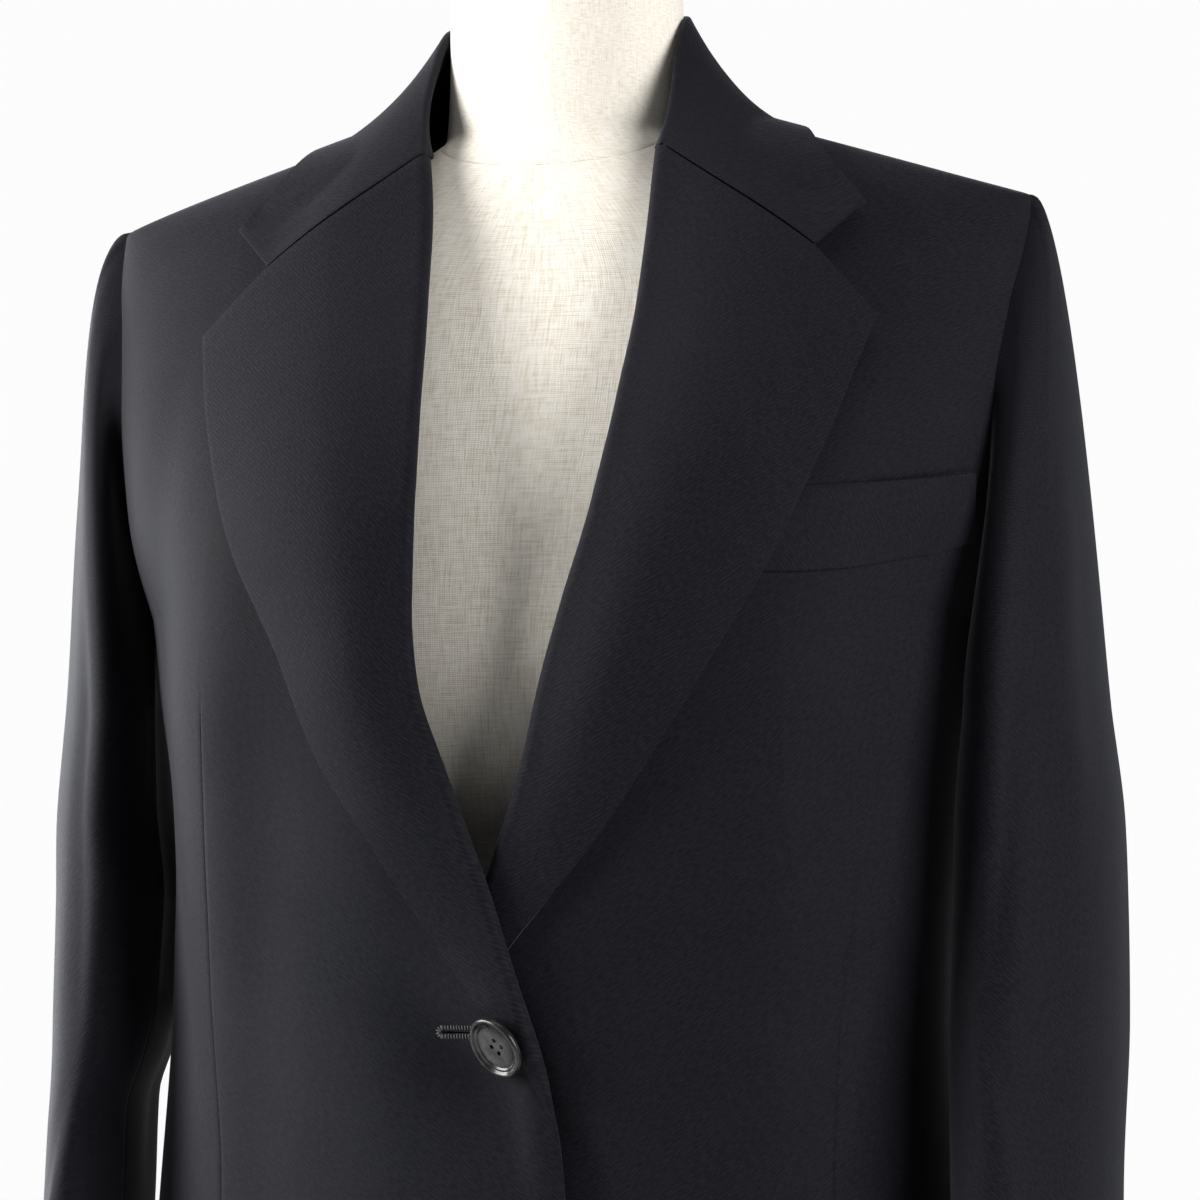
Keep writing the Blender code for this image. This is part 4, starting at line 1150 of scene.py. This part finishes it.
def collar_fall(side, share):
    """Rows from the crease to the outer edge, columns from the centre back to the gorge."""
    q = lapel_shares(side)
    t = q[:, None]
    crease = crease_points(share)
    edge = shoulder_surface(table_value(COLLAR_EDGE, own(side), share), table_value(COLLAR_EDGE, 3, share))
    out = crease + (edge - crease) * t[..., None]
    behind_gorge = 1 - ease((share - SHOULDER_SHARE) / (1 - SHOULDER_SHARE))
    fallen = t + COLLAR_BULGE * np.sin(math.pi * t) * behind_gorge
    out[..., 2] = crease[:, 2] + (edge - crease)[:, 2] * fallen
    lapel_top = lapel_face(side)[0][:2] * (side, 1, 1)
    level_with = np.array(TIP_FACING) * (LAPEL_THICK - COLLAR_THICK)
    gorge = lapel_top[0] + unit(lapel_top[0] - lapel_top[1]) * GORGE_GAP + level_with
    notch = gorge[GORGE_COLUMNS - 1]
    lift = np.array(TIP_FACING) * (WOOL_THICK + LAPEL_GAP + LAPEL_SPRING) + level_with
    to_tip = front_surface(*COLLAR_TIP[side]) + lift - notch
    on = np.linspace(0, 1, STEP_COLUMNS + 1)[1:, None]
    front_end = np.concatenate([gorge[:GORGE_COLUMNS], notch + to_tip * on])
    near_gorge = ease((share - GORGE_FROM) / (1 - GORGE_FROM))[None, :, None]
    out = out + near_gorge * (front_end - out[:, -1])[:, None]
    for _ in range(SMOOTHINGS):
        around = (out[:-2, 1:-1] + out[2:, 1:-1] + out[1:-1, :-2] + out[1:-1, 2:]) / 4
        out[1:-1, 1:-1] += (around - out[1:-1, 1:-1]) * near_gorge[:, 1:-1] ** 0.5
    cleared = clear_of_shoulder(out[:, :-1], WOOL_THICK + COLLAR_GAP)
    return np.concatenate([cleared, front_end[:, None]], axis=1)


def collar_half(side):
    """Rows from the neckline up the stand, over the crease and down the fall to the outer edge."""
    share = np.linspace(0, 1, COLLAR_COLUMNS)
    fall = collar_fall(side, share)
    down = unit(fall[1] - fall[0])
    gorgeward = ease((share - CREASE_TURNS) / (1 - CREASE_TURNS))[:, None]
    inward = fall[0] * (-1, -1, 0)
    inward = unit(unit(inward) * (1 - gorgeward) + np.array([-1.0, 0.0, 0.0]) * gorgeward)
    start = unit(-inward + down * np.sum(inward * down, axis=-1, keepdims=True))
    radius = (CREASE_RADIUS[0] + (CREASE_RADIUS[1] - CREASE_RADIUS[0]) * gorgeward[:, 0])[:, None]
    middle = fall[0] - start * radius
    opening = np.arccos(np.clip(np.sum(start * inward, axis=-1, keepdims=True), -1, 1))
    over = [
        middle
        + radius * (start * np.sin((1 - t) * opening) + inward * np.sin(t * opening)) / np.sin(opening)
        for t in np.linspace(1, 0, CREASE_ROWS + 1)[:-1]
    ]
    low = neck_seam_points(share, side)
    low[:, :2] *= 1 - STAND_INSET / np.linalg.norm(low[:, :2], axis=-1, keepdims=True)
    top = over[0]
    stand = [low + (top - low) * t for t in np.linspace(0, 1, STAND_ROWS + 1)[:-1]]
    return np.concatenate([np.stack(stand + over), fall])


left_half, right_half = collar_half(1), collar_half(-1)
both_halves = np.concatenate([(right_half[:, ::-1] * (-1, 1, 1))[:, :-1], left_half], axis=1)
collar = sewn_cloth(
    "collar",
    both_halves,
    108,
    thickness=COLLAR_THICK,
)
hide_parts("collar_fall", "collar_stand")

# ---- sleeves -------------------------------------------------------------------------------
# Each sleeve is cut in two pieces, a wide top and a narrow under one, seamed down the front and down
# the elbow. Its head is eased into the armhole, over the edge of the body, and its cuff is turned up.

SLEEVE_RINGS = {  # height, across, back of the ridge, thickness, depth, toe-in in degrees
    1: (
        (1.150, 0.2029, -0.0130, 0.0440, 0.142, 10.0),
        (1.100, 0.2030, -0.0140, 0.0540, 0.142, 11.0),
        (1.020, 0.2026, -0.0240, 0.0560, 0.141, 12.0),
        (0.940, 0.2033, -0.0410, 0.0500, 0.141, 13.0),
        (0.785, 0.2090, -0.0660, 0.0410, 0.124, 17.0),
    ),
    -1: (
        (1.150, 0.2006, -0.0135, 0.0380, 0.142, 15.0),
        (1.113, 0.2004, -0.0137, 0.0431, 0.142, 12.5),
        (1.071, 0.1968, -0.0170, 0.0491, 0.142, 10.0),
        (1.028, 0.1967, -0.0230, 0.0473, 0.141, 9.0),
        (1.007, 0.1980, -0.0268, 0.0420, 0.141, 9.0),
        (0.985, 0.2004, -0.0318, 0.0347, 0.141, 9.0),
        (0.940, 0.1994, -0.0410, 0.0353, 0.141, 9.0),
        (0.785, 0.2080, -0.0660, 0.0380, 0.124, 14.0),
    ),
}
ARMHOLE_MIDDLE = (0.19, 0.0, 1.28)
SLEEVE_SEAM = 0.12         # degrees, half the gap between a sleeve's two pieces
# The head's curve leaves the shoulder outwards and arrives in the arm downwards. These say how
# strongly, as shares of the distance between the two.
HEAD_OUT = {1: 0.20, -1: 0.36}
HEAD_RISE, HEAD_FALL, HEAD_FLARE = 0.02, 1.0, 0.10
FORE_SEAM, HIND_SEAM = 148, 255  # degrees round the sleeve from its outer side, by the front
HEAD_ROWS, ARM_ROWS, TOP_COLUMNS, UNDER_COLUMNS = 50, 80, 96, 44
SLEEVE_CREASES = {  # angle in degrees, height, to angle, to height, half width in degrees, rise
    1: (
        (20, 1.250, 34, 1.080, 16, 0.0016),
        (62, 1.180, 88, 1.020, 12, -0.0022),
        (-60, 1.160, -40, 0.980, 14, 0.0020),
        (100, 1.020, 64, 0.950, 9, 0.0020),
        (96, 0.960, 70, 0.900, 9, -0.0014),
        (200, 1.100, 180, 0.960, 14, -0.0020),
    ),
    -1: (
        (168, 1.190, 165, 1.030, 16, -0.0035),
        (14, 1.260, 30, 1.060, 15, 0.0018),
        (58, 1.200, 84, 1.000, 12, -0.0020),
        (-64, 1.150, -44, 0.960, 13, 0.0022),
        (104, 1.000, 66, 0.930, 9, 0.0018),
        (98, 0.950, 74, 0.880, 9, -0.0014),
        (205, 1.080, 186, 0.940, 14, -0.0022),
    ),
}
DEGREE = 0.0010            # metres round a sleeve for each degree, near enough
SEAM_CALM = 8              # degrees from a seam over which creases fade in
ROOT_CALM = 0.03           # and metres below the armhole


def sleeve_ring(angle, height, side):
    """A point of a sleeve, as if the left one: angle 0 is its outer side and a quarter turn its front."""
    across, behind, thick, depth, toe = (
        table_value(SLEEVE_RINGS[side], column, height) for column in range(1, 6)
    )
    toe = np.radians(toe)
    out = np.cos(angle) * thick / 2
    forward = np.sin(angle) * depth / 2
    x = across + out * np.cos(toe) - forward * np.sin(toe)
    y = behind - forward * np.cos(toe) - out * np.sin(toe)
    return np.stack(np.broadcast_arrays(x, y, height), axis=-1)


def armhole_point(angle):
    """The sleeve's root round the armhole: angle 0 is the shoulder and a quarter turn the front."""
    level = (1 - np.cos(angle)) / 2
    behind = body_point(armhole_turn(level, True), level, True)
    before = body_point(armhole_turn(level), level)
    return np.where((np.sin(angle) < 0)[..., None], behind, before) + (SEAM_GAP, 0, 0)


def sleeve_points(first, last, columns, side):
    """Rows from the armhole down to the cuff, columns between two seams in degrees."""
    degrees = np.linspace(first, last, columns)
    angle = np.radians(degrees)
    root = armhole_point(angle)
    top_height = SLEEVE_RINGS[side][0][0]
    ring = sleeve_ring(angle, np.full(angle.shape, top_height), side)
    radial = root - np.array(ARMHOLE_MIDDLE)
    radial[:, 0] = 0
    radial = unit(radial)
    length = np.linalg.norm(ring - root, axis=-1, keepdims=True)
    leave = (np.array([HEAD_OUT[side], 0, 0]) + radial * HEAD_RISE) * length
    flare = np.maximum(np.cos(angle), 0) * HEAD_FLARE
    arrive = np.stack([flare, 0 * flare, 0 * flare - HEAD_FALL], axis=-1) * length
    head_rows = [
        root * (1 + 2 * t) * (1 - t) ** 2
        + leave * t * (1 - t) ** 2
        + ring * t * t * (3 - 2 * t)
        + arrive * t * t * (t - 1)
        for t in np.linspace(0, 1, HEAD_ROWS, endpoint=False)
    ]
    arm_rows = [
        sleeve_ring(angle, np.full(angle.shape, height), side)
        for height in np.linspace(top_height, SLEEVE_RINGS[side][-1][0], ARM_ROWS)
    ]
    points = np.array(head_rows + arm_rows)
    from_seam = ease(np.minimum(degrees - first, last - degrees) / SEAM_CALM)
    from_root = ease((root[:, 2][None, :] - points[..., 2]) / ROOT_CALM)
    runs = [(a * DEGREE, b, c * DEGREE, d, e * DEGREE, f) for a, b, c, d, e, f in SLEEVE_CREASES[side]]
    rise = creases(degrees * DEGREE, points[..., 2], runs) * from_seam * from_root
    return moved_out(points, rise, SLEEVE_RINGS[side][1][1:3])


for hand, side in (("left", 1), ("right", -1)):
    axis = (SLEEVE_RINGS[side][1][1] * side, SLEEVE_RINGS[side][1][2])
    top = sleeve_points(HIND_SEAM - 360 + SLEEVE_SEAM, FORE_SEAM - SLEEVE_SEAM, TOP_COLUMNS, side)
    under = sleeve_points(FORE_SEAM + SLEEVE_SEAM, HIND_SEAM - SLEEVE_SEAM, UNDER_COLUMNS, side)
    for kind, points in (("top", top), ("under", under)):
        points = points * (side, 1, 1)
        sleeve = sewn_cloth(f"{hand}_{kind}_sleeve", points, 45, axis)
        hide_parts(f"sleeve_{kind}_{hand}")

# ---- buttonholes ---------------------------------------------------------------------------
# Each buttonhole is cut through the right front and worked by machine in black thread: close upright
# stitches along both sides of the cut, and round its outer end.

THREAD = (0.042, 0.042, 0.048)
STITCH_LENGTH, STITCH_WIDTH, STITCH_PITCH = 0.0021, 0.00074, 0.00120
STITCH_SIDES, STITCH_RINGS = 6, 7
END_STITCHES = 6           # round the outer end of the cut
NEARBY = 1e-4              # how far off the cloth's lie is felt for


def thread_finish():
    finish, node, wear = new_finish("black_thread", 0.5, Specular_IOR_Level=0.45, Sheen_Weight=0.3)
    at = node("TexCoord", {}).node.outputs["Object"]
    ply = node("TexWave", {"Vector": at, "Scale": 1400.0, "Distortion": 1.0}, bands_direction="DIAGONAL")
    lint = node("TexNoise", {"Vector": at, "Scale": 2600.0, "Detail": 2.0})
    wear(
        Base_Color=between(node, lint, tuple(c * 0.55 for c in THREAD), THREAD),
        Normal=node("Bump", {"Height": ply, "Distance": 0.0001, "Strength": 0.4}),
    )
    return finish


def right_front_surface(x, z):
    """The outer face of the right front at this x and z, near its edge."""
    points = front_surface(x, z)
    lift = WRAP_LIFT + WOOL_THICK
    points = points - np.array([0.0, lift, 0.0])
    points[..., 1] -= button_pull(points[..., 0], points[..., 2])
    return points


def add_stitch(bm, middle, along, out, length, width):
    """One thread lying on the cloth: a rounded bar that dips at both ends."""
    aside = out.cross(along).normalized()
    rings = []
    for share in np.linspace(-1, 1, STITCH_RINGS):
        height = width * 0.55 * math.cos(share * math.pi / 2) ** 0.5 - width * 0.25
        girth = width / 2 * (0.55 + 0.45 * math.cos(share * math.pi / 2))
        at = middle + along * (share * length / 2) + out * height
        rings.append(
            [
                bm.verts.new(at + (out * math.sin(a) + aside * math.cos(a)) * girth)
                for a in np.linspace(0, math.tau, STITCH_SIDES, endpoint=False)
            ]
        )
    for low, high in zip(rings, rings[1:]):
        for i in range(STITCH_SIDES):
            j = (i + 1) % STITCH_SIDES
            bm.faces.new((low[i], low[j], high[j], high[i]))
    bm.faces.new(rings[0][::-1])
    bm.faces.new(rings[-1])


black_thread = thread_finish()
for number, (hole_height, hole_start) in enumerate(zip(HOLE_HEIGHTS, HOLE_STARTS), start=1):
    bm = bmesh.new()
    reach = HOLE_GAP + STITCH_LENGTH / 2
    first = hole_start + HOLE_GAP
    stitch_places = [
        (first + i * STITCH_PITCH, hole_height + above * reach, 0.0, above)
        for i in range(round(HOLE_LENGTH / STITCH_PITCH))
        for above in (-1, 1)
    ]
    for i in range(END_STITCHES):
        a = math.pi / 2 + math.pi * (i + 0.5) / END_STITCHES
        dx, dz = math.cos(a), math.sin(a)
        stitch_places.append((first + dx * reach, hole_height + dz * reach, dx, dz))
    for x, z, dx, dz in stitch_places:
        here = right_front_surface(x, z)
        further = right_front_surface(x + dx * NEARBY, z + dz * NEARBY)
        beside = right_front_surface(x - dz * NEARBY, z + dx * NEARBY)
        along = Vector(further - here).normalized()
        out = along.cross(Vector(beside - here)).normalized()
        out = -out if out.y > 0 else out
        add_stitch(bm, Vector(here), along, out, STITCH_LENGTH, STITCH_WIDTH)
    bmesh.ops.recalc_face_normals(bm, faces=bm.faces)
    stitches = add_piece(f"buttonhole_{number}", bm, black_thread)
    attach(stitches, "root")

# ---- buttons -------------------------------------------------------------------------------
# The buttons are polished black horn with a raised rim, a dished middle and four holes, sewn to the
# left front on a wound shank of thread. The top one is tilted by the lapel's roll.

BUTTON_TILTS = ((34, 26), (2, 2), (2, 2))  # degrees: to the wearer's right, and down
BUTTON_STANDOFF = (0.0046, 0.0012, 0.0012)  # from the cloth to the middle of its underside
CLOTH_UNDER_BUTTON = 0.0020
BUTTON_PROFILE = (  # radius, height
    (0.00000, 0.00000),
    (0.00500, 0.00000),
    (0.00980, 0.00000),
    (0.01170, 0.00030),
    (0.01250, 0.00090),
    (0.01292, 0.00170),
    (0.01300, 0.00240),
    (0.01286, 0.00300),
    (0.01256, 0.00345),
    (0.01216, 0.00366),
    (0.01170, 0.00366),
    (0.01128, 0.00345),
    (0.01098, 0.00310),
    (0.01064, 0.00278),
    (0.01030, 0.00262),
    (0.01000, 0.00256),
    (0.00972, 0.00243),
    (0.00950, 0.00218),
    (0.00925, 0.00196),
    (0.00890, 0.00186),
    (0.00800, 0.00176),
    (0.00640, 0.00166),
    (0.00480, 0.00162),
    (0.00000, 0.00162),
)
BUTTON_SIDES = 160
THREAD_HOLE = 0.0010       # its radius
THREAD_HOLE_SIDES = 20
DRILL_LENGTH = 0.02
HOLES_RADIUS, HOLES_TURN = 0.0028, 2  # from the button's middle, and degrees
RIM_ANGLE = math.radians(40)  # an edge that turns by more than this looks crisp
SHANK_RADIUS = 0.0016
SHANK_WAIST = 1.1          # its ends are so much thicker than its middle
SHANK_SINK = 0.0004        # how far it goes into the cloth
SHANK_GAP = 0.00005
SHANK_SIDES = 32
HORN = (0.012, 0.012, 0.013)
HORN_CLOUD = (0.028, 0.027, 0.027)


def horn_finish():
    finish, node, wear = new_finish("polished_black_horn", 0.2, Specular_IOR_Level=0.28)
    at = node("TexCoord", {}).node.outputs["Object"]
    cloud = node("TexNoise", {"Vector": at, "Scale": 240.0, "Detail": 3.0})
    streaks = node("TexNoise", {"Vector": at, "Scale": 1800.0, "Detail": 2.0})
    wear(
        Base_Color=between(node, ramp(node, cloud, 0.4, 0.75), HORN, HORN_CLOUD),
        Roughness=node("MapRange", {0: streaks, 3: 0.15, 4: 0.28}),
        Normal=node("Bump", {"Height": streaks, "Distance": 0.00005, "Strength": 0.15}),
    )
    return finish


def without_modifiers(made):
    """The object with its modifiers' shape kept in its mesh, and the modifiers removed."""
    depsgraph = bpy.context.evaluated_depsgraph_get()
    kept = bpy.data.meshes.new_from_object(made.evaluated_get(depsgraph))
    made.modifiers.clear()
    made.data = kept
    return made


horn = horn_finish()
sewn_on = zip(BUTTON_HEIGHTS, BUTTON_TILTS, BUTTON_STANDOFF)
for number, (height, tilts, standoff) in enumerate(sewn_on, start=1):
    sideways, down = (math.radians(tilt) for tilt in tilts)
    level = Vector((-math.sin(sideways), -math.cos(sideways), 0))
    facing = level * math.cos(down) - Vector((0, 0, math.sin(down)))
    lift = WRAP_LIFT + CLOTH_UNDER_BUTTON + standoff
    under = Vector(front_surface(BUTTON_ACROSS, height)) + Vector((0, -lift, 0))
    place = Matrix.Translation(under) @ facing.to_track_quat("Z", "Y").to_matrix().to_4x4()
    button = add_piece(f"sewn_button_{number}", turned(BUTTON_PROFILE, BUTTON_SIDES), horn)
    drill = bmesh.new()
    for quarter in range(4):
        a = math.radians(HOLES_TURN) + quarter * math.pi / 2
        bmesh.ops.create_cone(
            drill,
            cap_ends=True,
            segments=THREAD_HOLE_SIDES,
            radius1=THREAD_HOLE,
            radius2=THREAD_HOLE,
            depth=DRILL_LENGTH,
            matrix=Matrix.Translation((HOLES_RADIUS * math.cos(a), HOLES_RADIUS * math.sin(a), 0)),
        )
    drills = add_piece(f"thread_holes_{number}", drill, horn)
    holes = button.modifiers.new("holes", "BOOLEAN")
    holes.operation = "DIFFERENCE"
    holes.object = drills
    button = without_modifiers(button)
    button.data.set_sharp_from_angle(angle=RIM_ANGLE)
    bpy.data.objects.remove(drills)
    button.data.transform(place)
    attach(button, "root")
    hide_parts(f"button_{number}")

    shank_length = standoff + SHANK_SINK
    shank = add_piece(
        f"button_shank_{number}",
        turned(
            (
                (0.0, -shank_length),
                (SHANK_RADIUS * SHANK_WAIST, -shank_length),
                (SHANK_RADIUS, -shank_length / 2),
                (SHANK_RADIUS * SHANK_WAIST, -SHANK_GAP),
                (0.0, -SHANK_GAP),
            ),
            SHANK_SIDES,
        ),
        black_thread,
    )
    shank.data.transform(place)
    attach(shank, "root")

# ---- floor, light and camera ---------------------------------------------------------------
# A plain pale floor. Window light comes strongly from the wearer's right, and less from the right rear,
# the left, above and behind. The camera stands at chest height, to the wearer's left of the middle.

FLOOR = (0.80, 0.80, 0.79)
FLOOR_SHADE = 0.97
FLOOR_RADIUS = 3.0
BACKDROP = (0.975, 0.975, 0.980)
AMBIENT = (0.86, 0.90, 1.0)
AMBIENT_STRENGTH = 0.03
CAMERA_TURN = math.radians(12.6)  # round the coat, towards the wearer's left
CAMERA_DISTANCE = 1.6
CAMERA_HEIGHT = 1.109
CAMERA_ASIDE = 0.0127
CAMERA_PITCH = math.radians(3.23)
CAMERA_ROLL = math.radians(-0.37)
CAMERA_LENS = 111.15
WINDOWS = (  # turn and rise in degrees, distance, width, height, watts, colour
    (-74, 12, 2.1, 1.6, 1.3, 140, (1.0, 0.99, 0.98)),
    (-125, 2, 2.1, 1.6, 1.3, 44, (0.96, 0.98, 1.0)),
    (66, 12, 2.1, 1.6, 1.3, 54, (1.0, 0.99, 0.98)),
    (180, 8, 2.1, 4.0, 2.6, 10, (1.0, 1.0, 1.0)),
    (0, 88, 2.1, 1.6, 1.3, 15, (1.0, 1.0, 1.0)),
)
AIM = Vector((0.0, 0.0, 1.18))


def floor_finish():
    finish, node, wear = new_finish("pale_floor", 0.8)
    at = node("TexCoord", {}).node.outputs["Object"]
    cloudy = node("TexNoise", {"Vector": at, "Scale": 3.0, "Detail": 4.0})
    wear(Base_Color=between(node, cloudy, tuple(c * FLOOR_SHADE for c in FLOOR), FLOOR))
    return finish


bm = bmesh.new()
bmesh.ops.create_circle(bm, cap_ends=True, radius=FLOOR_RADIUS, segments=128)
floor = add_piece("floor", bm, floor_finish())

world = bpy.data.worlds.new("pale_studio")
bpy.context.scene.world = world
world.use_nodes = True
studio = world.node_tree
studio.nodes.clear()
seen = studio.nodes.new("ShaderNodeBackground")
seen.inputs["Color"].default_value = (*BACKDROP, 1.0)
lighting = studio.nodes.new("ShaderNodeBackground")
lighting.inputs["Color"].default_value = (*AMBIENT, 1.0)
lighting.inputs["Strength"].default_value = AMBIENT_STRENGTH
rays = studio.nodes.new("ShaderNodeLightPath")
choice = studio.nodes.new("ShaderNodeMixShader")
surroundings = studio.nodes.new("ShaderNodeOutputWorld")
studio.links.new(rays.outputs["Is Camera Ray"], choice.inputs[0])
studio.links.new(lighting.outputs[0], choice.inputs[1])
studio.links.new(seen.outputs[0], choice.inputs[2])
studio.links.new(choice.outputs[0], surroundings.inputs["Surface"])

for number, (turn, rise, distance, width, height, watts, colour) in enumerate(WINDOWS, start=1):
    window = bpy.data.lights.new(f"window_{number}", "AREA")
    window.shape = "RECTANGLE"
    window.size, window.size_y = width, height
    window.energy = watts
    window.color = colour
    lamp = bpy.data.objects.new(f"window_{number}", window)
    bpy.context.scene.collection.objects.link(lamp)
    turn, rise = math.radians(turn), math.radians(rise)
    away = Vector((math.sin(turn) * math.cos(rise), -math.cos(turn) * math.cos(rise), math.sin(rise)))
    lamp.location = AIM + away * distance
    lamp.rotation_euler = away.to_track_quat("Z", "Y").to_euler()
    lamp.visible_camera = False

bpy.context.scene.view_settings.view_transform = "Standard"

camera = bpy.data.objects.new("camera", bpy.data.cameras.new("camera"))
bpy.context.scene.collection.objects.link(camera)
bpy.context.scene.camera = camera
camera.data.lens = CAMERA_LENS
camera.data.sensor_width = 36.0
level_right = Vector((math.cos(CAMERA_TURN), math.sin(CAMERA_TURN), 0.0))
level_ahead = Vector((-math.sin(CAMERA_TURN), math.cos(CAMERA_TURN), 0.0))
ahead = level_ahead * math.cos(CAMERA_PITCH) + Vector((0.0, 0.0, math.sin(CAMERA_PITCH)))
upward = level_right.cross(ahead)
right = level_right * math.cos(CAMERA_ROLL) + upward * math.sin(CAMERA_ROLL)
upward = upward * math.cos(CAMERA_ROLL) - level_right * math.sin(CAMERA_ROLL)
camera.rotation_euler = Matrix((right, upward, -ahead)).transposed().to_euler()
camera.location = level_right * CAMERA_ASIDE - level_ahead * CAMERA_DISTANCE + Vector((0, 0, CAMERA_HEIGHT))
